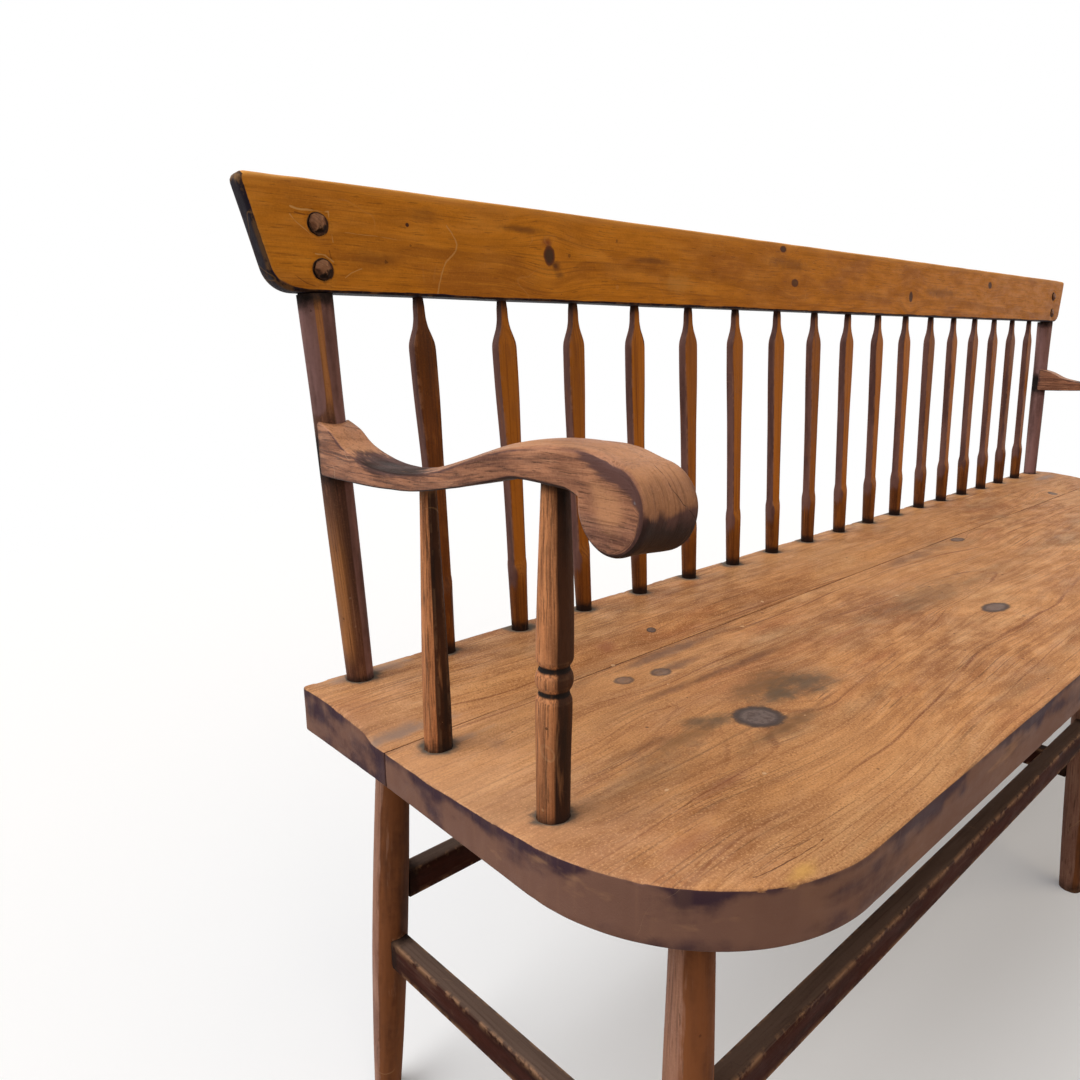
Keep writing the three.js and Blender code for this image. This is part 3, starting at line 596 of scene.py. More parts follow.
class Nodes:
    """Short names for one material's nodes. A value is a number, a tuple or another node's output."""

    def __init__(self, tree):
        self.tree = tree
        tree.nodes.clear()

    def add(self, kind, values=None, **settings):
        node = self.tree.nodes.new(kind)
        for key, value in settings.items():
            setattr(node, key, value)
        for key, value in (values or {}).items():
            if isinstance(value, bpy.types.NodeSocket):
                self.tree.links.new(value, node.inputs[key])
            else:
                node.inputs[key].default_value = value
        return node

    def math(self, operation, a, b=0.0, c=0.0):
        return self.add("ShaderNodeMath", {0: a, 1: b, 2: c}, operation=operation).outputs[0]

    def vector(self, operation, a, b=(0, 0, 0)):
        node = self.add("ShaderNodeVectorMath", {0: a, 1: b}, operation=operation)
        return node.outputs["Value" if operation in ("LENGTH", "DOT_PRODUCT") else "Vector"]

    def noise(self, at, scale, detail=2.0, roughness=0.55, colour=False, shift=0):
        """Noise at a vector, with scale bumps a metre in each direction. Each shift gives another pattern."""
        scaled = self.vector("MULTIPLY", at, scale if isinstance(scale, tuple) else (scale,) * 3)
        if shift:
            scaled = self.vector("ADD", scaled, (7.3 * shift, 3.1 * shift, 5.7 * shift))
        values = {"Vector": scaled, "Scale": 1.0, "Detail": detail, "Roughness": roughness}
        return self.add("ShaderNodeTexNoise", values).outputs["Color" if colour else "Fac"]

    def rise(self, value, low, high, bottom=0.0, top=1.0):
        values = {"Value": value, "From Min": low, "From Max": high, "To Min": bottom, "To Max": top}
        return self.add("ShaderNodeMapRange", values, interpolation_type="SMOOTHSTEP").outputs[0]

    def mix(self, amount, a, b):
        values = {0: amount, 6: colour(a), 7: colour(b)}
        return self.add("ShaderNodeMix", values, data_type="RGBA").outputs[2]

    def amount(self, name):
        return self.add("ShaderNodeAttribute", attribute_name=name).outputs["Fac"]

    def chain(self, operation, values):
        out = values[0]
        for value in values[1:]:
            out = self.math(operation, out, value)
        return out

    def times(self, *values):
        return self.chain("MULTIPLY", values)

    def plus(self, *values):
        return self.chain("ADD", values)

    def greatest(self, *values):
        return self.chain("MAXIMUM", values)

    def within(self, offset, reach):
        """An offset's length, counted in a reach of its own in each direction."""
        return self.vector("LENGTH", self.vector("MULTIPLY", offset, tuple(1 / r for r in reach)))


def colour(value):
    return value if isinstance(value, bpy.types.NodeSocket) else (*value, 1.0)


# How far round a knot the growth lines ring it and the fibres bend round it, in times its half sizes.
SWERVE_REACH = (3.6, 2.4, 3.0)
PUSH_REACH = (6.0, 5.0, 4.0)
PUSH_SHARE = 0.58
KNOT_RINGS = 22.0


def knot_field(n, f, knots):
    """Knots as (place, half sizes, strength): how much of each point is knot, its rings, the swerve of the
    growth lines round it, and how far the fibres there are pushed aside."""
    core, lines, rim, swerve, push = 0.0, 0.0, 0.0, 0.0, 0.0
    for place, reach, strength in knots:
        offset = n.vector("SUBTRACT", f.position, place)
        away = n.within(offset, reach)
        bumpy = n.plus(away, n.times(f.ragged, 0.3), n.math("MULTIPLY_ADD", f.fine, 0.4, -0.2))
        core = n.greatest(core, n.rise(bumpy, 1.12, 0.8, 0.0, strength))
        rim = n.greatest(rim, n.times(n.rise(bumpy, 0.6, 0.86, 0.0, strength), n.rise(bumpy, 1.22, 0.96)))
        rings = n.math("SINE", n.times(bumpy, KNOT_RINGS))
        lines = n.greatest(lines, n.rise(rings, -0.3, 1.0, 0.0, strength))
        near, far = (n.within(offset, [r * s for r, s in zip(reach, shares)])
                     for shares in (SWERVE_REACH, PUSH_REACH))
        near, far = (n.times(n.math("EXPONENT", n.times(wide, wide, -1.0)), strength) for wide in (near, far))
        swerve = n.plus(swerve, near)
        push = n.plus(push, n.times(far, n.vector("DOT_PRODUCT", offset, (0, 1, 1))))
    return core, n.times(lines, core), rim, swerve, push


def growth_lines(n, grain, look, swerve):
    """Growth lines, 1 on late wood. Each year has its own width and strength."""
    warp = n.vector("SUBTRACT", n.noise(grain, look["warp_scale"], 2.0, colour=True), (0.5, 0.5, 0.5))
    bent = n.vector("ADD", grain, n.vector("MULTIPLY", warp, (0, look["warp"], look["warp"])))
    tilt = n.vector("DOT_PRODUCT", grain, (look["taper"], 0, 0))
    across = n.vector("LENGTH", n.vector("MULTIPLY", n.vector("ADD", bent, look["pith"]), (0, 1, 1)))
    years = n.math("DIVIDE", n.plus(across, tilt), look["ring"])
    years = n.plus(years, n.times(swerve, look["swerve"]), n.times(n.noise(grain, (24, 170, 170), 2.0), 0.35))
    uneven = n.add("ShaderNodeTexNoise", {"W": years, "Scale": 0.43, "Detail": 1.0}, noise_dimensions="1D")
    years = n.math("MULTIPLY_ADD", uneven.outputs["Fac"], 2.6, years)
    own = n.add("ShaderNodeTexWhiteNoise", {"W": n.math("FLOOR", years)}, noise_dimensions="1D")
    year = n.math("FRACT", years)
    line = n.times(n.rise(year, look["line_start"], 0.9), n.rise(year, 1.0, 0.93))
    return n.times(line, n.rise(own.outputs["Value"], 0.1, 1.0, look["faintest_line"], 1.0))


def fine_lines(n, field, wide, mask):
    """Thin curved lines along a noise field's middle value, where the mask has them."""
    return n.times(n.rise(n.math("ABSOLUTE", n.math("SUBTRACT", field, 0.5)), wide, wide * 0.3), mask)


def line_distance(n, position, points):
    """Distance from a position to the line through points."""
    nearest = None
    for start, stop in zip(points, points[1:]):
        run = np.subtract(stop, start)
        offset = n.vector("SUBTRACT", position, tuple(start))
        share = n.vector("DOT_PRODUCT", offset, tuple(run / (run @ run)))
        share = n.math("MINIMUM", n.math("MAXIMUM", share, 0.0), 1.0)
        along = n.add("ShaderNodeVectorMath", {0: tuple(run), "Scale": share}, operation="SCALE").outputs[0]
        away = n.vector("LENGTH", n.vector("SUBTRACT", offset, along))
        nearest = away if nearest is None else n.math("MINIMUM", nearest, away)
    return nearest


def nicks(n, position, each, share):
    """Small dots, about each metres apart, on a share of the cells."""
    scaled = n.vector("MULTIPLY", position, (1 / each,) * 3)
    cells = n.add("ShaderNodeTexVoronoi", {"Vector": scaled, "Scale": 1.0})
    chosen = n.rise(cells.outputs["Color"], 1.0 - share - 0.12, 1.0 - share)
    size = n.rise(n.noise(position, 0.6 / each, 1.0), 0.35, 0.65, 0.015, 0.07)
    away = n.plus(cells.outputs["Distance"], n.times(n.noise(position, 500, 1.0), 0.06), -0.03)
    return n.times(n.math("LESS_THAN", away, size), chosen)


def wood_fields(n, look, knots):
    """The patterns that the wood's colours are mixed by."""
    f = SimpleNamespace()
    f.position = n.add("ShaderNodeTexCoord").outputs["Object"]
    f.ragged = n.math("SUBTRACT", n.noise(f.position, (38, 52, 52), 3.0, 0.6), 0.5)
    f.fine = n.noise(f.position, 150, 4.0, 0.65)
    f.core, f.knot_lines, f.rim, swerve, push = knot_field(n, f, knots)
    grain = n.add("ShaderNodeAttribute", attribute_name="grain").outputs["Vector"]
    wander = n.math("SUBTRACT", n.noise(grain, look["wander_scale"], 1.0, shift=6), 0.5)
    aside = n.plus(n.times(push, -PUSH_SHARE), n.times(wander, look["wander"]))
    f.grain = n.vector("ADD", grain, n.add("ShaderNodeCombineXYZ", {"Y": aside}).outputs[0])
    late = growth_lines(n, f.grain, look, swerve)
    f.late = n.times(late, n.rise(n.noise(f.grain, (9, 50, 50), 2.0), 0.34, 0.6, 0.3, 1.0))
    f.fibre = n.noise(f.grain, (26, 1100, 1100), 3.0, 0.6)
    f.streak = n.noise(f.grain, look["streak_scale"], 3.0, 0.62)
    f.dash = n.rise(n.noise(f.grain, look["dash_scale"], 2.0), look["dash_start"], look["dash_start"] + 0.07)
    hair = n.rise(n.noise(f.grain, look["hair_scale"], 1.0, shift=7), 0.6, 0.67)
    f.hair = n.times(hair, n.rise(n.noise(f.grain, (6, 26, 26), 2.0, shift=8), 0.42, 0.6))
    f.mottle = n.noise(f.grain, (22, 70, 70), 4.0, 0.62, shift=3)
    f.grit = n.noise(f.position, look["grit_scale"], 2.0, 0.7, shift=10)
    return f


def bare_wood(n, look, f):
    """Clean wood: clouds, mottling, streaks, growth lines, fibres, dashes and hairs."""
    base = look["pale"]
    for i, (scale, low, high, share, tint) in enumerate(look["clouds"]):
        cloud = n.noise(f.grain, scale, 3.0, 0.6, shift=i + 5)
        base = n.mix(n.rise(cloud, low, high, 0.0, share), base, tint)
    base = n.mix(n.rise(f.mottle, 0.42, 0.66, 0.0, look["mottle_share"]), base, look["late"])
    base = n.mix(n.rise(f.mottle, 0.48, 0.3, 0.0, look["light_share"]), base, look["light"])
    base = n.mix(n.rise(f.streak, 0.46, 0.66, 0.0, look["streak_share"]), base, look["late"])
    base = n.mix(n.rise(f.streak, 0.44, 0.28, 0.0, look["light_share"]), base, look["light"])
    base = n.mix(n.times(f.late, look["late_share"]), base, look["late"])
    base = n.mix(n.rise(f.fibre, 0.5, 0.3, 0.0, look["fibre_share"]), base, look["dark"])
    base = n.mix(n.times(f.dash, look["dash_share"]), base, look["dark"])
    return n.mix(n.times(f.hair, look["hair_share"]), base, look["dark"])


def rubbed_wood(n, look, f, base):
    """The finish worn thin by hands and backs, and lightened as painted light on some sides, then fine grit
    over all of it.
    """
    rub = n.amount("rubbed")
    thin = n.plus(n.times(f.streak, 0.75), n.times(f.mottle, 0.75), n.times(rub, 0.35))
    dark = n.plus(n.times(f.late, 0.7), n.rise(f.streak, 0.5, 0.68, 0.0, 0.5))
    tint = n.mix(dark, look["rubbed"], look["rubbed_late"])
    base = n.mix(n.times(rub, n.rise(thin, 0.66, 0.98, 0.3, 1.0)), base, tint)
    base = n.mix(n.rise(f.grit, 0.47, 0.3, 0.0, look["grit_share"]), base, look["light"])
    return n.mix(n.rise(f.grit, 0.53, 0.7, 0.0, look["grit_share"]), base, look["late"])


def marked_wood(n, look, f, base, knots, marks):
    """Smears and painted marks, painted highlights among them, as (place, half sizes, colour, strength), then
    the knots.
    """
    for place, reach, tint, strength in marks:
        away = n.within(n.vector("SUBTRACT", f.position, place), reach)
        broken = n.plus(away, n.times(f.ragged, 1.8), n.times(f.streak, 0.5), n.times(f.fine, 0.9), -0.7)
        base = n.mix(n.rise(broken, 1.5, 0.1, 0.0, strength), base, tint)
    if knots:
        base = n.mix(n.times(f.core, 0.95), base, look["knot"])
        base = n.mix(n.times(f.knot_lines, n.rise(f.fine, 0.36, 0.56), 0.6), base, look["knot_light"])
        base = n.mix(n.times(f.rim, 0.75), base, look["knot_rim"])
    return base


def stained_wood(n, look, f, base):
    """Dark staining, worn through in places and scuffed; on some sides it is painted shade."""
    stain = n.amount("stain")
    left = n.plus(n.times(f.mottle, look["stain_mottle"]), n.times(f.streak, 0.6), n.times(stain, 0.9))
    f.stained = n.times(n.rise(left, 0.72, 1.0), n.rise(stain, 0.02, 0.3))
    depth = n.noise(f.grain, look["stain_scale"], 3.0, 0.6, shift=9)
    depth = n.plus(depth, n.times(n.amount("deep"), 0.42), n.times(f.fine, 0.2), -0.1)
    tint = n.mix(n.rise(depth, 0.36, 0.76), look["stain"], look["stain_deep"])
    scuffs = n.noise(f.grain, look["stain_scale"], 4.0, 0.7, shift=12)
    scuffs = n.rise(scuffs, 0.42, 0.28, 0.0, look["scuff_share"])
    return n.mix(f.stained, base, n.mix(scuffs, tint, look["light"]))


def soiled_wood(n, look, f, base):
    """Chipped arrises, soiling, which is painted shade in the arm posts' grooves, and a paler or darker tone
    where the tone amount is above or below 0.
    """
    chipped = n.rise(n.plus(f.fine, n.noise(f.position, 45, 2.0)), 0.9, 1.12)
    base = n.mix(n.times(n.amount("edge"), chipped, look["edge_share"]), base, look["edge"])
    grime = n.amount("grime")
    f.dirt = n.plus(grime, n.math("MULTIPLY_ADD", f.fine, 0.5, -0.25), n.times(f.ragged, 0.5))
    f.dirt = n.times(n.rise(f.dirt, 0.1, 0.75), n.rise(grime, 0.0, 0.12))
    base = n.mix(f.dirt, base, look["grime"])
    tone = n.amount("tone")
    tint = n.mix(n.math("GREATER_THAN", tone, 0.0), look["dark"], look["light"])
    return n.mix(n.math("ABSOLUTE", tone), base, tint)


CUT_SHAKE = 3 * MM
FLAKE_OFFSET = (0.31, 0.17, 0.23)


def scratched_wood(n, look, f, base, cuts):
    """Scratches, cuts as (points, half width, colour, strength), among them a band of painted shade on the
    crest rail, and small nicks and flakes.
    """
    where = n.rise(n.noise(f.position, 14, 1.0, shift=2), 0.56, 0.64)
    f.scratch = fine_lines(n, n.noise(f.position, 17, 1.0, shift=4), look["scratch_wide"], where)
    base = n.mix(n.times(f.scratch, look["scratch_share"]), base, look["scratch"])
    f.carved = 0.0
    if cuts:
        shake = n.vector("SUBTRACT", n.noise(f.position, 60, 2.0, colour=True), (0.5, 0.5, 0.5))
        shaken = n.vector("ADD", f.position, n.vector("MULTIPLY", shake, (CUT_SHAKE,) * 3))
    for points, wide, tint, strength in cuts:
        away = n.plus(line_distance(n, shaken, points), n.times(f.ragged, wide))
        here = n.rise(away, wide, 0.4 * wide)
        f.carved = n.greatest(f.carved, here)
        base = n.mix(n.times(here, strength), base, tint)
    f.dots = nicks(n, f.position, look["nick_gap"], 0.5)
    base = n.mix(n.times(f.dots, look["nick_share"]), base, look["dark"])
    flakes = nicks(n, n.vector("ADD", f.position, FLAKE_OFFSET), look["nick_gap"] * 1.3, 0.4)
    return n.mix(n.times(flakes, look["flake_share"]), base, look["scratch"])


def wood(name, look, knots=(), marks=(), cuts=()):
    """An old softwood surface, from bare wood up to its last scratch, with the same marks in its relief.

    It reads the piece's grain vector and its edge, stain, deep, rubbed, grime and tone amounts."""
    material = bpy.data.materials.new(name)
    material.use_nodes = True
    n = Nodes(material.node_tree)
    f = wood_fields(n, look, knots)
    base = rubbed_wood(n, look, f, bare_wood(n, look, f))
    base = stained_wood(n, look, f, marked_wood(n, look, f, base, knots, marks))
    base = scratched_wood(n, look, f, soiled_wood(n, look, f, base), cuts)

    height = n.plus(n.times(f.late, 0.3), n.times(f.fibre, 0.5), n.times(f.fine, 0.35))
    height = n.plus(height, n.times(f.streak, 0.3), n.times(f.grit, 0.5))
    sunk = n.plus(n.times(f.dash, 0.4), n.times(f.dots, 0.5), n.times(f.scratch, 0.4), n.times(f.carved, 1.2))
    relief = {"Strength": look["bump"], "Distance": 0.5 * MM, "Height": n.math("SUBTRACT", height, sunk)}
    rough = n.rise(f.mottle, 0.3, 0.7, look["rough"] - 0.08, look["rough"] + 0.08)
    rough = n.plus(rough, n.times(f.dirt, 0.2), n.times(f.fine, 0.14), n.times(f.stained, 0.12), -0.07)
    shader = n.add("ShaderNodeBsdfPrincipled", {
        "Base Color": base, "Roughness": rough, "Specular IOR Level": look["gloss"],
        "Normal": n.add("ShaderNodeBump", relief).outputs[0],
    })
    n.add("ShaderNodeOutputMaterial", {"Surface": shader.outputs[0]})
    return material


BASE_LOOK = {
    "warp_scale": (2.2, 13, 13), "warp": 9 * MM, "taper": 0.012, "pith": (0, 0.011, 0.019), "ring": 2.3 * MM,
    "swerve": 3.0, "line_start": 0.35, "faintest_line": 0.25,
    "pale": (0.4, 0.16, 0.045), "late": (0.2, 0.075, 0.022), "light": (0.55, 0.26, 0.09), "late_share": 0.7,
    "clouds": (), "mottle_share": 0.5, "light_share": 0.35,
    "streak_scale": (9, 260, 260), "streak_share": 0.6,
    "dash_scale": (48, 560, 560), "dash_start": 0.63, "dash_share": 0.6,
    "hair_scale": (5, 700, 700), "hair_share": 0.4,
    "dark": (0.04, 0.015, 0.007), "fibre_share": 0.35,
    "knot": (0.07, 0.03, 0.015), "knot_light": (0.2, 0.12, 0.07), "knot_rim": (0.04, 0.02, 0.012),
    "rubbed": (0.5, 0.22, 0.07), "rubbed_late": (0.3, 0.11, 0.03),
    "stain": (0.13, 0.06, 0.05), "stain_deep": (0.06, 0.025, 0.022), "stain_mottle": 0.8,
    "edge": (0.55, 0.3, 0.16), "edge_share": 0.5,
    "grime": (0.018, 0.01, 0.008),
    "scratch": (0.6, 0.35, 0.17), "scratch_share": 0.25, "scratch_wide": 0.006,
    "wander_scale": (3, 6, 6), "wander": 6 * MM, "grit_scale": 620, "grit_share": 0.2, "scuff_share": 0.35,
    "nick_gap": 19 * MM, "nick_share": 0.5, "flake_share": 0.35, "stain_scale": (8, 60, 60),
    "bump": 0.6, "rough": 0.5, "gloss": 0.11,
}


def look(**changes):
    return {**BASE_LOOK, **changes}


SEAT_MARK_DEPTH = 60 * MM
CREST_MARK_DEPTH = 8 * MM


def seat_place(along, across, height=0):
    """A place in millimetres from the seat's left end, its back edge and its top."""
    return -END + along * MM, SEAT_BACK - across * MM, SEAT_TOP + height * MM


def on_seat(along, across, half_along, half_across):
    """A place on the seat's top with half sizes."""
    return seat_place(along, across), (half_along * MM, half_across * MM, SEAT_MARK_DEPTH)


def crest_place(along, height):
    """A place on the crest rail's front, millimetres from the seat's left end and the rail's lower edge."""
    return tuple(crest_axes.out([(-END + along * MM, height * MM, CREST_THICKNESS / 2)])[0])


def on_crest(along, height, half_along, half_height):
    """A place on the crest rail's front with half sizes."""
    return crest_place(along, height), (half_along * MM, CREST_MARK_DEPTH, half_height * MM)


def cut_line(place_of, half_width, tint, strength, *points):
    """A cut through points that place_of puts on a piece: its places, half width, colour and strength."""
    return [place_of(*point) for point in points], half_width * MM, tint, strength


SEAT_KNOTS = (
    (*on_seat(254, 304, 20, 20), 1.0),
    (*on_seat(239, 168, 10, 8.5), 0.6),
    (*on_seat(279, 179, 11, 9), 0.65),
    (*on_seat(350, 105, 6, 4), 0.9),
    (*on_seat(690, 330, 22, 12), 0.9),
    (*on_seat(1040, 150, 15, 9), 0.8),
    (*on_seat(1330, 290, 26, 14), 0.95),
    (*on_seat(1590, 120, 12, 8), 0.85),
)
REDDISH = (0.3, 0.1, 0.05)
DEEP_BROWN = (0.13, 0.05, 0.024)
UMBER = (0.2, 0.095, 0.038)
GREY_BROWN = (0.12, 0.075, 0.042)
PLUM = (0.15, 0.078, 0.052)
DUST = (0.3, 0.2, 0.15)
BLEACHED = (0.72, 0.39, 0.21)
YELLOW = (0.68, 0.37, 0.1)
PLUG = (0.22, 0.12, 0.08)
SEAT_MARKS = (
    (*on_seat(0, 230, 100, 260), BLEACHED, 0.4),
    (*on_seat(1822, 230, 100, 260), BLEACHED, 0.4),
    (*on_seat(210, 272, 16, 9), GREY_BROWN, 0.75),
    (*on_seat(228, 284, 17, 11), GREY_BROWN, 0.85),
    (*on_seat(318, 266, 42, 19), UMBER, 0.95),
    (*on_seat(302, 290, 24, 16), GREY_BROWN, 0.85),
    (*on_seat(346, 292, 40, 22), GREY_BROWN, 0.9),
    (*on_seat(250, 331, 48, 10), UMBER, 0.95),
    (*on_seat(279, 107, 13, 8), REDDISH, 0.6),
    (*on_seat(75, 187, 9, 7), PLUG, 0.4),
    (*on_seat(4, 66, 30, 30), REDDISH, 0.3),
    (*on_seat(336, 149, 80, 9), PLUM, 0.75),
    (*on_seat(306, 179, 30, 7), PLUM, 0.7),
    (*on_seat(240, 213, 46, 5), DEEP_BROWN, 0.5),
    (*on_seat(304, 217, 52, 5), DEEP_BROWN, 0.7),
    (*on_seat(370, 221, 50, 7), DEEP_BROWN, 0.7),
    (*on_seat(178, 286, 38, 13), UMBER, 0.7),
    (*on_seat(146, 271, 34, 5), DEEP_BROWN, 0.5),
    (*on_seat(118, 304, 50, 15), GREY_BROWN, 0.35),
    (*on_seat(139, 351, 30, 6), REDDISH, 0.45),
    (*on_seat(70, 376, 24, 8), REDDISH, 0.4),
    # A painted highlight where the seat's rounded front corner catches the light.
    (*on_seat(97, 438, 14, 5), YELLOW, 0.7),
    (*on_seat(28, 119, 44, 7), DUST, 0.85),
    (*on_seat(60, 12, 44, 8), DUST, 0.8),
    (*on_seat(56, 158, 34, 5), DUST, 0.6),
    (*on_seat(700, 250, 130, 30), GREY_BROWN, 0.45),
    (*on_seat(880, 150, 100, 12), PLUM, 0.6),
    (*on_seat(1180, 330, 110, 20), UMBER, 0.6),
    (*on_seat(1500, 240, 130, 24), GREY_BROWN, 0.45),
    (*on_seat(1740, 60, 60, 10), DUST, 0.8),
)
SEAT_CUTS = (
    cut_line(seat_place, 0.55, (0.1, 0.035, 0.015), 0.8,
             (72, 422), (84, 425), (96, 427), (113, 429), (134, 430)),
    cut_line(seat_place, 0.5, (0.22, 0.085, 0.035), 0.6,
             (58, 411), (76, 412), (88, 413), (105, 417), (122, 423), (150, 429)),
)
CREST_KNOTS = (
    (*on_crest(286, 44, 7, 9.5), 1.0),
    (*on_crest(707, 79, 7, 4), 0.9),
    (*on_crest(738, 37, 8, 5), 0.8),
    (*on_crest(121, 59, 1.8, 1.6), 1.0),
    (*on_crest(1090, 30, 6, 8), 0.9),
    (*on_crest(1420, 62, 8, 6), 0.9),
)
CREST_SHADE = (0.12, 0.04, 0.01)
CREST_MARKS = (
    (*on_crest(294, 34, 7, 5), CREST_SHADE, 0.95),
    (*on_crest(300, 26, 6, 4), CREST_SHADE, 0.7),
    (*on_crest(283, 56, 8, 5), (0.2, 0.045, 0.015), 0.9),
    (*on_crest(250, 66, 26, 3.5), CREST_SHADE, 0.65),
    (*on_crest(140, 70, 20, 6), CREST_SHADE, 0.4),
    (*on_crest(90, 30, 26, 7), CREST_SHADE, 0.4),
    (*on_crest(447, 48, 30, 4), CREST_SHADE, 0.6),
    (*on_crest(492, 25, 22, 9), (0.62, 0.3, 0.07), 0.5),
    (*on_crest(720, 60, 50, 8), CREST_SHADE, 0.5),
    (*on_crest(1200, 40, 60, 8), CREST_SHADE, 0.5),
)

seat_wood = wood("seat_wood", look(
    pale=(0.61, 0.28, 0.1), late=(0.22, 0.072, 0.024), light=(0.74, 0.4, 0.185), ring=4.8 * MM, taper=0.03,
    pith=(0, 0.26, 0.14), warp=30 * MM, warp_scale=(3, 12, 12), line_start=0.66, faintest_line=0.0,
    late_share=1.0,
    clouds=(
        ((5, 15, 15), 0.47, 0.66, 0.75, (0.34, 0.145, 0.055)),
        ((4, 12, 12), 0.5, 0.68, 0.5, (0.28, 0.18, 0.09)),
        ((7, 22, 22), 0.52, 0.7, 0.6, (0.43, 0.15, 0.055)),
        ((6, 18, 18), 0.5, 0.66, 0.5, (0.72, 0.39, 0.17)),
        ((14, 40, 40), 0.5, 0.64, 0.4, (0.36, 0.16, 0.065)),
    ),
    mottle_share=0.5, streak_scale=(4, 260, 260), streak_share=0.42, dash_scale=(17, 620, 620),
    dash_start=0.65, dash_share=0.6, fibre_share=0.25, rubbed=(0.66, 0.325, 0.13),
    rubbed_late=(0.38, 0.145, 0.052), hair_share=0.6, hair_scale=(2.6, 640, 640), wander=30 * MM,
    wander_scale=(4, 7, 7), light_share=0.28, stain=(0.19, 0.095, 0.067), stain_deep=(0.042, 0.019, 0.028),
    knot=(0.08, 0.056, 0.05), dark=(0.07, 0.026, 0.012), knot_light=(0.22, 0.165, 0.145),
    knot_rim=(0.04, 0.027, 0.024), grime=(0.13, 0.1, 0.075), rough=0.56, edge=(0.13, 0.06, 0.035),
    edge_share=0.6, scratch=(0.78, 0.52, 0.3), scratch_share=0.12, scratch_wide=0.003, nick_gap=26 * MM,
    nick_share=0.7, flake_share=0.6, swerve=2.3, stain_mottle=0.35, stain_scale=(6, 16, 34), grit_share=0.6,
    scuff_share=0.2, gloss=0.14,
), SEAT_KNOTS, SEAT_MARKS, SEAT_CUTS)
FRESH = (0.64, 0.33, 0.1)
CREST_CUTS = (
    # The first line is not a cut: it is a near-black band of painted shade along the rail's lower front
    # arris.
    cut_line(crest_place, 2.0, (0.02, 0.009, 0.006), 0.95, (8, -0.5), (1814, -0.5)),
    cut_line(crest_place, 1.1, FRESH, 0.6, (163, 62), (168, 57), (172, 51), (173.5, 46), (172, 41),
             (167, 36.5), (161, 32), (157, 26), (153.5, 19), (151, 11), (149, 3)),
    cut_line(crest_place, 1.0, FRESH, 1.0, (15, 64), (24, 62.5), (36, 63), (47, 62.5)),
    cut_line(crest_place, 0.9, FRESH, 0.8, (47, 62), (48, 50), (49, 40)),
    cut_line(crest_place, 0.9, FRESH, 0.7, (14, 58), (22, 50), (34, 43)),
    cut_line(crest_place, 0.8, CREST_SHADE, 0.6, (18, 60), (30, 58.5), (42, 60)),
    cut_line(crest_place, 0.7, CREST_SHADE, 0.5, (45, 33), (47, 24), (44, 14)),
    cut_line(crest_place, 0.5, FRESH, 0.4, (52, 48), (84, 47.5), (113, 46)),
    cut_line(crest_place, 0.9, FRESH, 0.9, (33, 29.5), (41, 29), (48, 24.5)),
    cut_line(crest_place, 0.8, FRESH, 0.6, (58, 12), (64, 16), (68, 18), (74, 20)),
    cut_line(crest_place, 0.5, CREST_SHADE, 0.6, (14, 12), (24, 6), (30, 5)),
)
crest_wood = wood("crest_wood", look(
    pale=(0.63, 0.23, 0.0155), late=(0.3, 0.098, 0.0085), light=(0.75, 0.31, 0.03), ring=7 * MM, warp=20 * MM,
    warp_scale=(3.2, 16, 16), line_start=0.74, faintest_line=0.0, late_share=0.5, swerve=4.0,
    pith=(0, 0.03, 0.06),
    clouds=(
        ((8, 26, 26), 0.48, 0.66, 0.6, (0.34, 0.11, 0.014)),
        ((5, 14, 14), 0.5, 0.66, 0.5, (0.46, 0.16, 0.018)),
        ((11, 34, 34), 0.52, 0.68, 0.45, (0.68, 0.28, 0.045)),
    ),
    mottle_share=0.3, streak_scale=(9, 260, 260), streak_share=0.26, dash_scale=(52, 820, 820),
    dash_start=0.62, dash_share=0.36, fibre_share=0.14, scuff_share=0.08, hair_share=0.25,
    rubbed=(0.8, 0.37, 0.09), rubbed_late=(0.5, 0.19, 0.035), stain=(0.03, 0.02, 0.04),
    stain_deep=(0.012, 0.008, 0.013), grime=(0.02, 0.008, 0.005), edge=(0.5, 0.26, 0.09), edge_share=0.4,
    knot=(0.035, 0.014, 0.007), knot_light=(0.075, 0.035, 0.018), knot_rim=(0.12, 0.035, 0.012),
    scratch=(0.62, 0.33, 0.11), scratch_share=0.15, nick_gap=30 * MM, nick_share=0.5, flake_share=0.2,
    bump=0.45, rough=0.46, gloss=0.08,
), CREST_KNOTS, CREST_MARKS, CREST_CUTS)
spindle_wood = wood("spindle_wood", look(
    pale=(0.16, 0.046, 0.009), late=(0.06, 0.018, 0.005), light=(0.28, 0.09, 0.015),
    rubbed=(0.6, 0.205, 0.018), rubbed_late=(0.24, 0.066, 0.008), stain=(0.15, 0.07, 0.055),
    stain_deep=(0.07, 0.03, 0.024), ring=2.0 * MM,
    clouds=(
        ((10, 60, 60), 0.45, 0.62, 0.6, (0.075, 0.022, 0.008)),
    ),
    streak_scale=(5, 380, 380), streak_share=0.75, light_share=0.5, edge=(0.35, 0.16, 0.08),
    grime=(0.014, 0.006, 0.004), dash_share=0.45, rough=0.42, scratch=(0.4, 0.2, 0.1), gloss=0.08,
    scratch_share=0.1,
))
post_wood = wood("post_wood", look(
    pale=(0.13, 0.052, 0.03), late=(0.045, 0.018, 0.011), light=(0.3, 0.135, 0.07),
    rubbed=(0.5, 0.205, 0.065), rubbed_late=(0.13, 0.045, 0.013), stain=(0.24, 0.125, 0.112),
    stain_deep=(0.09, 0.043, 0.036), ring=2.2 * MM,
    clouds=(
        ((9, 60, 60), 0.46, 0.62, 0.6, (0.05, 0.02, 0.014)),
    ),
    streak_scale=(6, 280, 280), streak_share=0.7, light_share=0.45, grime=(0.01, 0.006, 0.005), warp=7 * MM,
    taper=0.03, scratch=(0.34, 0.2, 0.13), bump=0.8,
))
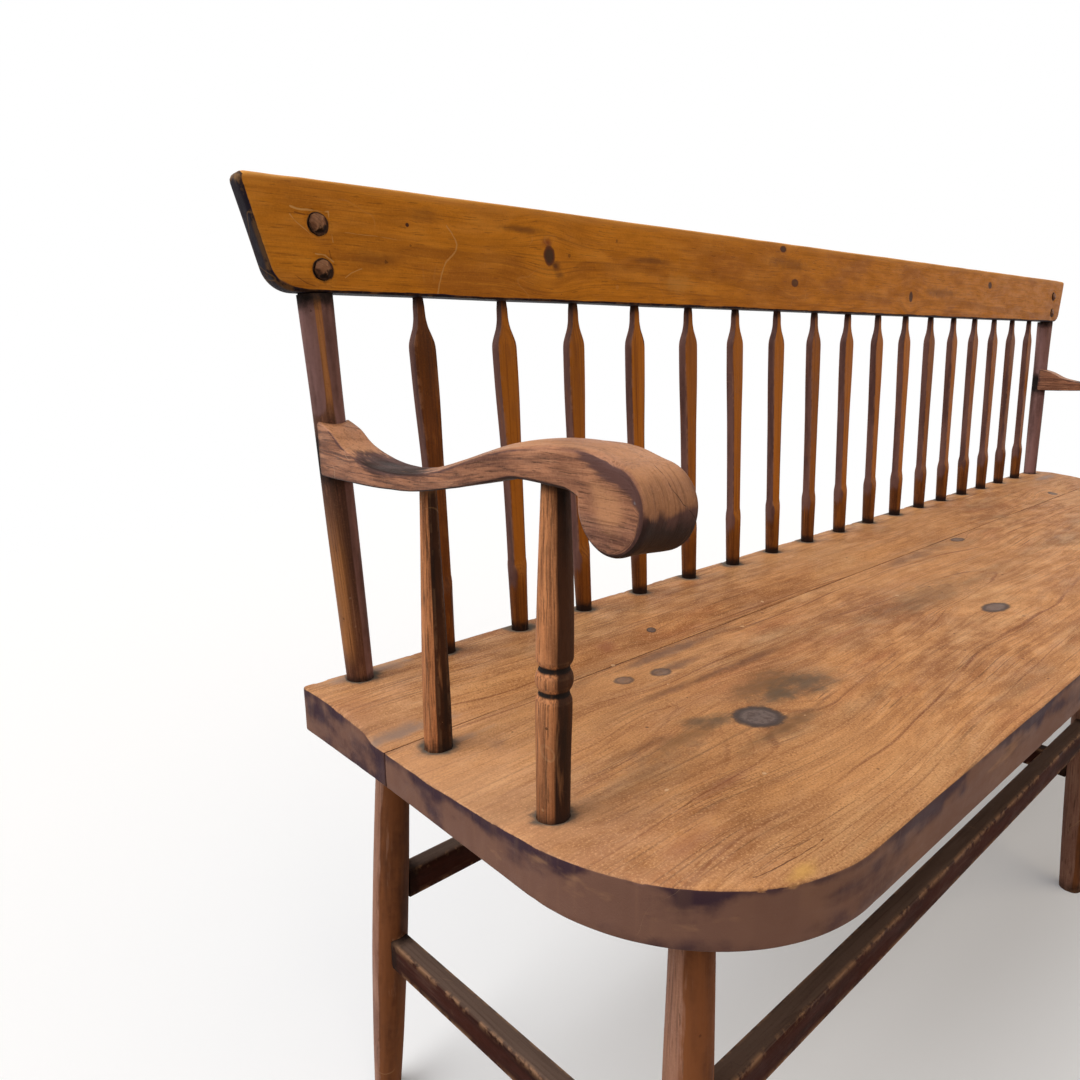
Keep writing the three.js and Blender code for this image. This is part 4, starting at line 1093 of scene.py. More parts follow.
ARM_CUTS = (
    cut_line(seat_place, 0.35, (0.05, 0.02, 0.01), 0.85, (32.4, 372, 237), (32.4, 378.2, 232.6),
             (33.4, 384.8, 225), (40.2, 387.7, 216.2), (49.2, 387.4, 207.3)),
)
# A nail head in the scroll's side: a dark grey disc with a painted highlight on its middle.
ARM_MARKS = (
    (seat_place(11.5, 381.5, 220.1), (6 * MM, 2.6 * MM, 2.6 * MM), (0.05, 0.03, 0.045), 1.0),
    (seat_place(11.5, 381.9, 219.8), (6 * MM, 1.1 * MM, 1.1 * MM), (0.42, 0.4, 0.42), 1.0),
)
arm_wood = wood("arm_wood", look(
    pale=(0.46, 0.2, 0.105), late=(0.09, 0.035, 0.025), light=(0.6, 0.3, 0.165), ring=4.6 * MM,
    late_share=0.85, pith=(0, 0.03, 0.06), warp=20 * MM, warp_scale=(6, 17, 17), line_start=0.5,
    faintest_line=0.0, taper=0.01,
    clouds=(
        ((10, 40, 40), 0.48, 0.66, 0.7, (0.17, 0.07, 0.042)),
        ((7, 30, 30), 0.5, 0.64, 0.5, (0.26, 0.12, 0.085)),
    ),
    mottle_share=0.45, streak_scale=(12, 420, 420), streak_share=0.6, dash_scale=(60, 900, 900),
    dash_start=0.59, dash_share=0.6, fibre_share=0.3, rubbed=(0.64, 0.31, 0.145),
    rubbed_late=(0.3, 0.125, 0.05), stain=(0.12, 0.055, 0.045), stain_deep=(0.022, 0.008, 0.004),
    edge=(0.07, 0.035, 0.04), edge_share=0.75, grime=(0.02, 0.012, 0.012), rough=0.44,
    scratch=(0.6, 0.38, 0.24), scratch_share=0.35, bump=0.7,
), marks=ARM_MARKS, cuts=ARM_CUTS)
upright_wood = wood("upright_wood", look(
    pale=(0.62, 0.235, 0.09), late=(0.15, 0.052, 0.022), light=(0.78, 0.35, 0.15), rubbed=(0.7, 0.3, 0.125),
    rubbed_late=(0.24, 0.085, 0.035), stain=(0.06, 0.021, 0.009), stain_deep=(0.012, 0.006, 0.004),
    ring=2.6 * MM, fibre_share=0.7, streak_scale=(14, 520, 520), streak_share=0.8, dash_scale=(30, 760, 760),
    dash_start=0.57, dash_share=0.85, dark=(0.03, 0.014, 0.01), grime=(0.012, 0.008, 0.007), bump=1.0,
    light_share=0.5, nick_gap=15 * MM, nick_share=0.7, stain_mottle=1.0,
    clouds=(
        ((12, 70, 70), 0.5, 0.68, 0.5, (0.2, 0.075, 0.035)),
    ),
))
leg_wood = wood("leg_wood", look(
    pale=(0.36, 0.175, 0.115), late=(0.19, 0.085, 0.058), light=(0.5, 0.27, 0.18), stain=(0.22, 0.075, 0.026),
    stain_deep=(0.07, 0.025, 0.012), rubbed=(0.46, 0.23, 0.13), rubbed_late=(0.25, 0.11, 0.06), rough=0.55,
    ring=2.4 * MM,
    clouds=(
        ((9, 50, 50), 0.47, 0.64, 0.6, (0.15, 0.07, 0.05)),
    ),
    streak_scale=(6, 300, 300),
))
stretcher_wood = wood("stretcher_wood", look(
    pale=(0.08, 0.036, 0.024), late=(0.04, 0.017, 0.012), light=(0.13, 0.07, 0.05),
    stain=(0.045, 0.011, 0.006), stain_deep=(0.018, 0.005, 0.003), rubbed=(0.15, 0.1, 0.075),
    rubbed_late=(0.09, 0.055, 0.04), rough=0.6, ring=2.6 * MM, scratch_share=0.1, flake_share=0.1, gloss=0.06,
))
peg_wood = wood("peg_wood", look(
    pale=(0.16, 0.066, 0.032), late=(0.07, 0.028, 0.014), light=(0.26, 0.12, 0.06), rubbed=(0.3, 0.14, 0.07),
    rubbed_late=(0.16, 0.07, 0.035), stain=(0.04, 0.018, 0.01), stain_deep=(0.01, 0.005, 0.004), rough=0.4,
    edge_share=0.7,
))


# Spindles, posts, arm uprights and legs

def spindle_section(clear, seed):
    """A spindle above its socket: round foot and knuckle, flat blade, square neck."""
    rng = np.random.default_rng(seed)
    widen = 1 + rng.uniform(-0.02, 0.02)
    lean = rng.uniform(-1.5, 1.5) * DEGREE
    blade_foot = KNUCKLE_HEIGHT + SHAVING_RUN
    shoulder = clear - SHOULDER_DROP
    waist, wide, neck = SPINDLE_WAIST / 2, SPINDLE_WIDTH / 2 * widen, SPINDLE_NECK / 2
    knuckle, flat = SPINDLE_KNUCKLE / 2, SPINDLE_THICKNESS / 2
    width = [(-SPINDLE_SOCKET, knuckle), (0, knuckle * 1.02), (KNUCKLE_HEIGHT, knuckle * 1.02)]
    width += [(blade_foot + along * (shoulder - blade_foot), waist + growth * (wide - waist))
              for along, growth in BLADE_SHARES]
    width += [(shoulder + along * SHOULDER_DROP, wide - narrowing * (wide - neck))
              for along, narrowing in SHOULDER_SHARES]
    width.append((clear + SPINDLE_HEAD_SOCKET, neck))
    thick = [(-SPINDLE_SOCKET, knuckle), (0, knuckle * 1.02), (KNUCKLE_HEIGHT - 4 * MM, knuckle * 1.02),
             (blade_foot, flat), (shoulder, flat), (clear - 0.3 * SHOULDER_DROP, neck * 0.98),
             (clear + SPINDLE_HEAD_SOCKET, neck * 0.98)]
    turned = [(-SPINDLE_SOCKET, SPINDLE_FOOT / 2 * FOOT_TAPER_SHARE), (0, SPINDLE_FOOT / 2),
              (KNUCKLE_HEIGHT, knuckle), (blade_foot, knuckle * 1.06), (shoulder, wide * 1.035),
              (clear - 0.5 * SHOULDER_DROP, wide * 0.85), (clear, neck * 1.25),
              (clear + SPINDLE_HEAD_SOCKET, neck * 1.25)]

    def section(heights, grow):
        a, b, c = (smooth_curve(stations, heights) for stations in (width, thick, turned))
        corner = np.arctan2(np.minimum(b, c * 0.71), np.minimum(a, c * 0.71))
        blend = rise(heights, KNUCKLE_HEIGHT - 6 * MM, KNUCKLE_HEIGHT + 6 * MM)
        on_round = np.sqrt(np.maximum(c ** 2 - b ** 2, 1e-9))
        corner = np.where(b < a, np.arctan2(b, np.minimum(a, on_round)), corner)
        corner = np.pi / 4 + (corner - np.pi / 4) * blend
        planes = [(0, a), (np.pi, a), (np.pi / 2 + lean, b), (-np.pi / 2 + lean, b)]
        return shaved(heights, c, planes, seed, corner=corner, grow=grow, depth_share=0.012)
    return section


def bowed(mesh, axes, clear, bow):
    """Bends a bar's clear part sideways along the bench."""
    def bend(places, _):
        share = np.clip(axes.into(places)[:, 2] / clear, 0, 1)
        return np.outer(np.sin(math.pi * share) ** 1.4, (bow, 0, 0))
    return moved(mesh, bend)


def make_spindle(i):
    name = f"spindle_{i + 1:02d}"
    axes, length = stem(name, SPINDLE_SOCKET)
    clear = length - SPINDLE_SOCKET - SPINDLE_HEAD_SOCKET
    seed = 100 + i
    heights = heights_between(-SPINDLE_SOCKET, clear + SPINDLE_HEAD_SOCKET, RING_STEP)
    section = spindle_section(clear, seed)
    mesh, cutter = (bowed(bar_mesh(name, axes, heights, section, grow), axes, clear, SPINDLE_BOWS[i])
                    for grow in (0.0, SOCKET_GAP))
    piece = add_piece(name, mesh, spindle_wood)
    rub = SPINDLE_RUB_SHARES[i]

    def masks(local, facing):
        z = local[:, 2]
        front = rise(-facing[:, 1], 0.55, 0.85)
        blade = rise(z, KNUCKLE_HEIGHT * 0.4, KNUCKLE_HEIGHT * 1.6) * rise(z, clear + 4 * MM, clear - 20 * MM)
        sides_dark = rise(np.abs(facing[:, 0]), 0.5, 0.85)
        foot = rise(z, 26 * MM, 2 * MM)
        neck = rise(z, clear - 16 * MM, clear)
        patch = value_noise(places_at(local, i), np.array([0.5, 0.5, 70]) * MM * 100, seed)
        rubbed = rub * front * (0.35 + 0.65 * blade) * (0.85 + 0.25 * patch)
        return {
            "rubbed": rubbed + 0.25 * rub * rise(facing[:, 1], 0.5, 0.9),
            "stain": sides_dark * rise(z, 30 * MM, 90 * MM) * 0.9,
            "grime": 0.75 * foot ** 2 + 0.6 * neck,
        }
    dress(piece, axes, ALONG_Z, seed, masks)
    return cutter


def make_back_post(name, side):
    axes, length = stem(f"back_post_{name}", POST_SOCKET)
    clear = length - POST_SOCKET - POST_TENON_LENGTH
    joint = ARM_CROWN * ARM_JOINT_SHARE
    seed = 40 + side
    turned = [(-POST_SOCKET, POST_FOOT / 2 * FOOT_TAPER_SHARE), (0, POST_FOOT / 2), (joint, POST_AT_ARM / 2),
              (joint + POST_FLAT_START, POST_AT_ARM / 2), (clear, POST_HEAD / 2)]
    flat = [(joint + 0.2 * POST_FLAT_START, POST_AT_ARM / 2 * 1.01),
            (joint + POST_FLAT_START * 1.6, POST_AT_ARM / 2 * 0.9), (clear, POST_HEAD / 2 * POST_FLAT_SHARE)]

    def section(heights, grow):
        radius = smooth_curve(turned, heights)
        front = np.where(heights < flat[0][0], 1.0, smooth_curve(flat, heights))
        return shaved(heights, radius, [(-math.pi / 2 - side * POST_TURN, front)], seed, grow=grow)

    def tenon_section(heights, grow):
        half = np.full_like(heights, POST_TENON_WIDTH / 2)
        thin = np.full_like(heights, POST_TENON_THICKNESS / 2)
        return shaved(heights, half, [(math.pi / 2, thin), (-math.pi / 2, thin)], seed, grow=grow)

    heights = heights_between(-POST_SOCKET, clear - POST_SHOULDER_GAP, RING_STEP)
    body = bar_mesh("post", axes, heights, section)
    grown = heights_between(-POST_SOCKET, clear + SOCKET_GAP, RING_STEP)
    cutter = bar_mesh("post", axes, grown, section, SOCKET_GAP)
    heights = heights_between(clear - POST_FOOT, clear + POST_TENON_LENGTH, POST_FOOT)
    tongue = bar_mesh("tongue", axes, heights, tenon_section)
    piece = add_piece(f"back_post_{name}", body, post_wood)
    combine(piece, tongue, "UNION")

    def masks(local, facing):
        z = local[:, 2]
        turned_in = math.pi / 2 + side * POST_TURN
        flat_face = rise(facing @ np.array([-math.cos(turned_in), -math.sin(turned_in), 0]), 0.9, 0.985)
        above = rise(z, joint + 22 * MM, joint + 50 * MM)
        inner = rise(-side * facing[:, 0] - 0.4 * facing[:, 1], 0.2, 0.8)
        outer = rise(side * facing[:, 0], 0.2, 0.8)
        rubbed_below = 0.7 * outer * (1 - above) * rise(z, joint - 20 * MM, joint - 110 * MM)
        by_arm = 0.75 * rise(np.abs(z - joint), 44 * MM, 12 * MM) * rise(z, joint + 34 * MM, joint)
        return {
            "rubbed": 0.75 * flat_face * above + rubbed_below * rise(z, 5 * MM, 40 * MM),
            "stain": 0.8 * (1 - flat_face) * above + 0.8 * inner * (1 - above),
            "grime": 0.7 * rise(z, clear - 26 * MM, clear) + by_arm + 0.5 * rise(z, 10 * MM, 0),
        }
    dress(piece, axes, ALONG_Z, seed, masks)
    return axes, cutter, tongue


def make_arm_post(name, side):
    node = f"arm_post_{name}"
    axes, length = stem(node, ARM_POST_SOCKET)
    clear = length - ARM_POST_SOCKET - ARM_POST_TENON_LENGTH
    seed = 60 + side
    stations = [(-ARM_POST_SOCKET, ARM_POST_FOOT * FOOT_TAPER_SHARE), (0, ARM_POST_FOOT), *ARM_POST_TURNING,
                (clear - 1 * MM, ARM_POST_HEAD)]
    stations = [(z, diameter / 2) for z, diameter in stations]

    def section(heights, grow):
        radius = np.where(heights > clear, ARM_POST_TENON / 2, smooth_curve(stations, heights))
        return shaved(heights, radius, [], seed, grow=grow, flats=14, depth_share=0.008)

    def leaning(places, _):
        sideways, forwards = ARM_POST_LEAN
        share = rise(axes.into(places)[:, 2], 20 * MM, 0.8 * clear)
        return np.outer(share, (-side * sideways, -forwards, 0))
    ring = (*ARM_POST_RING, FINE_RING_STEP * 0.7)
    heights = heights_between(-ARM_POST_SOCKET, clear - 0.2 * MM, RING_STEP, [ring])
    top = np.array([clear + 0.01 * MM, clear + ARM_POST_TENON_LENGTH])
    mesh, cutter = (moved(bar_mesh(node, axes, np.concatenate([heights, top + grow]), section, grow), leaning)
                    for grow in (0.0, SOCKET_GAP))
    piece = add_piece(node, mesh, upright_wood)

    def masks(local, facing):
        z = local[:, 2]
        # Painted shade and light: the side turned to the front and the bench's middle is darkened as painted
        # shade, and the outer side is lightened as painted light. On the left post these are the side away
        # from the window and the side towards it.
        seen_right = rise(facing @ np.array([0.55 * -side, -0.83, 0]), 0.25, 0.75)
        waver = value_noise(places_at(local, side + 5), 30 * MM, seed)
        # The two turned grooves are darkened as painted shade.
        grooves = sum(rise(np.abs(z - at), 3.4 * MM, 0.8 * MM) for at in ARM_POST_GROOVES)
        return {
            "rubbed": 0.4 * rise(facing @ np.array([0.8 * side, -0.3, 0]), 0.0, 0.8),
            "stain": np.clip(seen_right * (0.9 + 0.5 * waver), 0, 1),
            "tone": -0.42 * rise(z + 14 * MM * waver, 88 * MM, 6 * MM),
            "grime": 0.5 * rise(z, 14 * MM, 0) + 0.75 * rise(z, clear - 12 * MM, clear) + 0.8 * grooves,
        }
    dress(piece, axes, ALONG_Z, seed, masks)
    return cutter


def make_short_spindle(name, side):
    node = f"arm_spindle_{name}"
    axes, length = stem(node, SHORT_SOCKET)
    clear = length - SHORT_SOCKET - SHORT_TENON_LENGTH
    seed = 70 + side
    rng = np.random.default_rng(seed)
    directions = [(i * 45 + rng.uniform(-3, 3)) * DEGREE for i in range(8)]
    shares = rng.uniform(0.97, 1.03, 8)

    taper = [(-SHORT_SOCKET, SHORT_FOOT / 2 * FOOT_TAPER_SHARE), (0, SHORT_FOOT / 2), (clear, SHORT_HEAD / 2)]

    def section(heights, grow):
        tenon = heights > clear
        corner = smooth_curve(taper, heights)
        flat = np.where(tenon, SHORT_TENON / 2, corner * math.cos(math.pi / 8))
        planes = [(d, flat * s) for d, s in zip(directions, shares)]
        radius = np.where(tenon, SHORT_TENON / 2, corner * 1.02)
        return shaved(heights, radius, planes, seed, grow=grow, depth_share=0.0, crispness=40)
    heights = heights_between(-SHORT_SOCKET, clear - 0.2 * MM, RING_STEP)
    top = np.array([clear + 0.01 * MM, clear + SHORT_TENON_LENGTH])
    mesh, cutter = (bar_mesh(node, axes, np.concatenate([heights, top + grow]), section, grow)
                    for grow in (0.0, SOCKET_GAP))
    piece = add_piece(node, mesh, upright_wood)

    def masks(local, facing):
        z = local[:, 2]
        # Painted shade and light: the facets turned to the front are darkened as painted shade, and the outer
        # ones are lightened as painted light. On the left spindle these are the side away from the window and
        # the side towards it.
        right = rise(facing @ np.array([0.2 * -side, -0.98, 0]), 0.55, 0.8)
        return {
            "rubbed": 0.3 * rise(facing @ np.array([side, -0.2, 0]), 0.3, 0.9),
            "stain": right,
            "grime": 0.55 * rise(z, 20 * MM, 0) + 0.4 * rise(z, clear - 10 * MM, clear),
        }
    dress(piece, axes, ALONG_Z, seed, masks)
    return cutter


def make_leg(row, name, column):
    node = f"leg_{row}_{name}"
    axes, length = stem(node)
    clear = length - LEG_SOCKET
    seed = {"rear": 10, "front": 20}[row] + column
    turned = [(0, LEG_FOOT / 2), (LEG_ANKLE_SHARE * clear, LEG_ANKLE / 2),
              (LEG_BELLY_SHARE * clear, LEG_BELLY / 2), (clear - LEG_UPPER_DROP, LEG_UPPER / 2),
              (clear, LEG_NECK / 2),
              (length, LEG_NECK / 2 * FOOT_TAPER_SHARE)]

    def section(heights, grow):
        radius = smooth_curve(turned, heights)
        return shaved(heights, radius, [], seed, grow=grow, flats=11, depth_share=0.035)
    mesh = bar_mesh(node, axes, heights_between(0, length, RING_STEP), section)
    foot = (np.abs(axes.into(places_and_normals(mesh)[0])[:, 2]) < 0.1 * MM).astype(float)
    slope = axes.basis[2] / axes.basis[2][2]
    moved(mesh, lambda places, _: -foot[:, None] * places[:, 2:] * slope)
    cutter = bar_mesh(node, axes, heights_between(0, length + SOCKET_GAP, RING_STEP), section, SOCKET_GAP)
    piece = add_piece(node, mesh, leg_wood)
    return piece, axes, cutter, seed, clear


def dress_leg(leg):
    piece, axes, _, seed, clear = leg

    def masks(local, facing):
        z = local[:, 2]
        # Painted shade: the faces turned to the front are darkened. Painted light: the other faces, the side
        # towards the window among them, are lightened at mid height.
        front = rise(-facing[:, 1], 0.1, 0.8)
        return {
            "stain": 0.85 * front,
            "rubbed": 0.3 * rise(z, clear * 0.3, clear * 0.6) * (1 - front),
            "grime": 0.6 * rise(z, clear - 22 * MM, clear) + 0.5 * rise(z, 30 * MM, 0),
        }
    dress(piece, axes, ALONG_Z, seed, masks)


def make_stretcher(node, along, seed):
    axes, reach = stem(node, along=along, up=UP)
    shoulder = STRETCHER_SHOULDER

    def section(heights, grow):
        rail = (heights > shoulder) & (heights < reach - shoulder)
        a = np.where(rail, STRETCHER_THICKNESS / 2, STRETCHER_TENON / 2)
        b = np.where(rail, STRETCHER_HEIGHT / 2, STRETCHER_TENON / 2)
        track = np.stack([heights, np.zeros_like(heights), np.zeros_like(heights)], 1)
        a = a * (1 + 0.02 * value_noise(track, 90 * MM, seed))
        b = b * (1 + 0.015 * value_noise(track, 120 * MM, seed + 1))
        turned = np.where(rail, 0.56 * STRETCHER_HEIGHT, STRETCHER_TENON / 2)
        corner = np.where(rail, np.arctan2(b, a), math.pi / 4)
        planes = [(0, a), (math.pi, a), (math.pi / 2, b), (-math.pi / 2, b)]
        return shaved(heights, turned, planes, seed, corner=corner, grow=grow, depth_share=0.0, crispness=34)
    rail = heights_between(shoulder + 0.01 * MM, reach - shoulder - 0.01 * MM, 2 * RING_STEP)
    heights = np.concatenate([[0, shoulder - 0.01 * MM], rail, [reach - shoulder + 0.01 * MM, reach]])
    mesh = bar_mesh(node, axes, heights, section)
    ends = np.array([-SOCKET_GAP, shoulder - 0.02 * MM - SOCKET_GAP])
    grown = np.concatenate([ends, rail[[0]] - SOCKET_GAP, rail[1:-1], rail[[-1]] + SOCKET_GAP,
                            reach + SOCKET_GAP - np.array([shoulder - 0.02 * MM - SOCKET_GAP, 0])])
    cutter = bar_mesh(node, axes, np.sort(grown), grown_section(section, shoulder, reach), SOCKET_GAP)
    piece = add_piece(node, mesh, stretcher_wood)

    def masks(local, facing):
        z = local[:, 2]
        worn = rise(facing[:, 1], 0.4, 0.9)
        joint = np.minimum(z, reach - z)
        return {
            "rubbed": 0.8 * worn,
            "stain": 0.9 * rise(facing[:, 1], 0.5, -0.2),
            "grime": 0.6 * rise(joint, 34 * MM, 14 * MM),
        }
    dress(piece, axes, ALONG_Z, seed, masks)
    return cutter


def grown_section(section, shoulder, reach):
    """A stretcher's section read a socket's gap further in, so that its shoulders are grown as well."""
    middle = reach / 2
    keep = (middle - shoulder - 0.01 * MM) / (middle - shoulder - 0.01 * MM + SOCKET_GAP)

    def grown(heights, grow):
        inside = (heights > shoulder - SOCKET_GAP) & (heights < reach - shoulder + SOCKET_GAP)
        return section(np.where(inside, middle + (heights - middle) * keep, heights), grow)
    return grown


def make_dowel(i):
    node = f"seat_dowel_{i + 1}"
    axes, length = stem(node, along=1, up=UP)
    seed = 80 + i

    def section(heights, grow):
        radius = np.full_like(heights, DOWEL_DIAMETER / 2)
        return shaved(heights, radius, [], seed, grow=grow, flats=7, depth_share=0.04)
    mesh = bar_mesh(node, axes, heights_between(0, length, RING_STEP), section)
    grown = heights_between(-SOCKET_GAP, length + SOCKET_GAP, RING_STEP)
    cutter = bar_mesh(node, axes, grown, section, SOCKET_GAP)
    piece = add_piece(node, mesh, upright_wood)
    dress(piece, axes, ALONG_Z, seed, lambda local, facing: {"grime": 0.1})
    return cutter


# Crest rail and its pegs

def make_peg(node, seed):
    centre = crest_axes.into([np.array(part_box(node)).mean(0)])[0]
    centre[2] = 0
    axes = Axes(crest_axes.out([centre])[0], crest_front, UP)
    half = CREST_THICKNESS / 2
    rng = np.random.default_rng(seed)
    directions = [(22.5 + i * 45 + rng.uniform(-7, 7)) * DEGREE for i in range(8)]
    shares = rng.uniform(0.9, 1.02, 8)
    head = PEG_HEAD / 2
    stations = [(-half, PEG_TAIL / 2), (half - 1 * MM, head), (half + 0.35 * PEG_PROUD, head * 0.95),
                (half + 0.75 * PEG_PROUD, head * 0.72), (half + 0.97 * PEG_PROUD, head * 0.35),
                (half + PEG_PROUD, head * 0.06)]

    def section(heights, grow):
        radius = smooth_curve(stations, heights)
        planes = [(d, radius * s * 0.95) for d, s in zip(directions, shares)]
        return shaved(heights, radius, planes, seed, grow=grow, depth_share=0.0, crispness=30)

    def straight(heights, grow):
        return section(np.minimum(heights, half - 1 * MM), grow)
    dome = half + PEG_PROUD * np.array([0.1, 0.2, 0.35, 0.5, 0.62, 0.75, 0.85, 0.92, 0.97, 1])
    heights = np.concatenate([heights_between(-half, half, RING_STEP), dome])
    whittled = [(turn * DEGREE + rng.uniform(-0.2, 0.2), steep, rng.uniform(0.3, 0.5))
                for turn, steep in PEG_FACETS]

    def whittle(places, _):
        local = axes.into(places)
        top = np.full(len(local), 0.86 * PEG_PROUD)
        for turn, steep, flat in whittled:
            outwards = local[:, 0] * math.cos(turn) + local[:, 1] * math.sin(turn)
            top = np.minimum(top, PEG_PROUD * (1 + 0.4 * steep) - steep * (outwards - flat * 0.2 * PEG_HEAD))
        down = np.maximum(local[:, 2] - half - top, 0) * (local[:, 2] > half)
        return -np.outer(np.minimum(down, local[:, 2] - half), axes.basis[2])
    mesh = moved(bar_mesh(node, axes, heights, section), whittle)
    grown = np.array([-half - SOCKET_GAP, half - 1 * MM, half + PEG_PROUD])
    cutter = bar_mesh(node, axes, grown, straight, SOCKET_GAP)
    piece = add_piece(node, mesh, peg_wood)

    def masks(local, facing):
        z = local[:, 2]
        proud = rise(z, half, half + 0.3 * PEG_PROUD)
        # Painted shade and light: the facets turned down and away from the window are darkened as painted
        # shade, and those turned up and to the front are lightened as painted light.
        dark = rise(facing[:, 1] - 0.4 * facing[:, 0], -0.1, -0.45)
        return {
            "rubbed": 0.8 * rise(facing[:, 2] + 0.5 * facing[:, 1], 0.6, 1.0) * proud,
            "stain": dark,
            "deep": dark,
            "grime": 0.6 * rise(z, half + 0.8 * MM, half - 0.5 * MM),
        }
    dress(piece, axes, ALONG_Z, seed, masks, sharp_angle=24 * DEGREE)
    return centre, cutter


def make_crest(post_cutters, spindle_cutters, pegs):
    top = END + CREST_TOP_OVERHANG
    bottom = top - CREST_END_SLANT
    outline = rounded_outline([
        (-bottom, 0, CREST_LOWER_RADIUS), (bottom, 0, CREST_LOWER_RADIUS),
        (top, CREST_HEIGHT, CREST_TOP_RADIUS), (-top, CREST_HEIGHT, CREST_TOP_RADIUS),
    ], 2.6 * MM)
    track = np.column_stack([outline, np.zeros(len(outline))])
    at_end = rise(np.abs(outline[:, 0]), END - 30 * MM, END - 6 * MM)
    wear = 1 + 0.3 * value_noise(track, 45 * MM, 1) + 0.12 * value_noise(track, 9 * MM, 2) + 0.9 * at_end
    front_ease = CREST_EASE * wear
    back_ease = CREST_EASE * (1 + 0.2 * value_noise(track, 60 * MM, 3) + 0.9 * at_end)
    rings = eased_rings(CREST_THICKNESS, front_ease, back_ease, 4)
    around = []
    for (x, y, _), _ in pegs:
        for radius in np.arange(8, 17, 1.6) * MM:
            turn = np.linspace(0, 2 * np.pi, round(2 * np.pi * radius / (1.7 * MM)), endpoint=False)
            around += list(np.stack([x + radius * np.cos(turn), y + radius * np.sin(turn)], 1))

    def place(flat):
        local = np.stack([flat[:, 0], flat[:, 1], CREST_THICKNESS / 2 - flat[:, 2]], 1)
        return crest_axes.out(local)
    mesh = plate_mesh("crest_rail", outline, rings, 7 * MM, place, np.array(around))

    def hand_work(places, normals):
        local = crest_axes.into(places)
        push = 0.22 * MM * value_noise(local, np.array([110, 24, 60]) * MM, 4)
        front = rise(local[:, 2], CREST_THICKNESS / 2 - 2 * MM, CREST_THICKNESS / 2 - 0.5 * MM)
        for (x, y, _), _ in pegs:
            away = np.hypot(local[:, 0] - x, local[:, 1] - y)
            ragged = away + 1.6 * MM * value_noise(local, 7 * MM, 5)
            push = push - front * 1.1 * MM * rise(ragged, 13.5 * MM, 9.5 * MM)
        return normals * push[:, None]
    moved(mesh, hand_work)
    piece = add_piece("crest_rail", mesh, crest_wood)
    cut(piece, post_cutters + spindle_cutters)
    cut(piece, [cutter for _, cutter in pegs])

    def masks(local, facing):
        x, y, _ = local.T
        below = rise(-facing[:, 1], 0.2, 0.6)
        at_ends = rise(np.abs(facing[:, 0]), 0.35, 0.6)
        holes = sum(rise(np.hypot(x - p[0], y - p[1]), 11.5 * MM, 8.5 * MM) for p, _ in pegs)
        waver = 2.5 * MM * value_noise(local, np.array([50, 12, 12]) * MM, 8)
        rubbed_top = rise(facing[:, 1], 0.2, 0.9) * 0.75
        rubbed_top = rubbed_top + rise(y + waver, CREST_HEIGHT - 9 * MM, CREST_HEIGHT) * 0.65
        back = rise(-facing[:, 2], 0.5, 1)
        return {
            "stain": np.clip(below + at_ends + 0.07 * back, 0, 1),
            "tone": 0.35 * back,
            "deep": np.clip(below + at_ends, 0, 1),
            "rubbed": rubbed_top * (1 - at_ends),
            "grime": 0.35 * holes,
        }
    dress(piece, crest_axes, ALONG_X, 7, masks)


# Arms

def catmull_rom(points, count):
    """Points on the smooth curve through a list of points."""
    points = np.array(points)
    padded = np.vstack([2 * points[0] - points[1], points, 2 * points[-1] - points[-2]])
    out = []
    for place in np.linspace(0, len(points) - 1, count):
        i = min(int(place), len(points) - 2)
        t = place - i
        a, b, c, d = padded[i:i + 4]
        squared, cubed = 2 * a - 5 * b + 4 * c - d, 3 * b - a - 3 * c + d
        out.append(0.5 * (2 * b + (c - a) * t + squared * t * t + cubed * t ** 3))
    return np.array(out)


def turned_corner(line, start, radius, side):
    """The line from its start on, with its first stretch rounded off on one side."""
    turn = np.linspace(0, math.pi / 2, 7)
    setback = start + radius * (1 - np.cos(turn))
    height = np.interp(setback, line[:, 0], line[:, 1]) - side * radius * (1 - np.sin(turn))
    return np.vstack([np.stack([setback, height], 1), line[line[:, 0] > start + radius + 1 * MM]])


SCROLL_CENTRE = np.array([ARM_REACH - SCROLL_RADIUS, ARM_CROWN - SCROLL_DROP - SCROLL_RADIUS])


def arm_outline(start):
    """The arm's side in (setback, height above the seat), anticlockwise with the setback to the right."""
    scale = np.array([ARM_REACH, ARM_CROWN])
    turn = np.linspace(*SCROLL_ANGLES, 90)
    scroll = SCROLL_CENTRE + SCROLL_RADIUS * np.stack([np.cos(turn), np.sin(turn)], 1)
    top = [(start, ARM_BACK_TOP_SHARE * ARM_CROWN), *(np.array(ARM_TOP_SHARES) * scale), scroll[0]]
    top = catmull_rom(top, 170)[:-1]
    under = [*(np.array(ARM_UNDER_SHARES) * scale), (start, ARM_BACK_UNDER_SHARE * ARM_CROWN)]
    under = catmull_rom(under, 140)
    top = turned_corner(top, start, ARM_BACK_RADIUS, 1)
    under = turned_corner(under[::-1], start, ARM_BACK_RADIUS, -1)
    return respaced(np.vstack([top, scroll, under[::-1]])[::-1], 2.4 * MM)


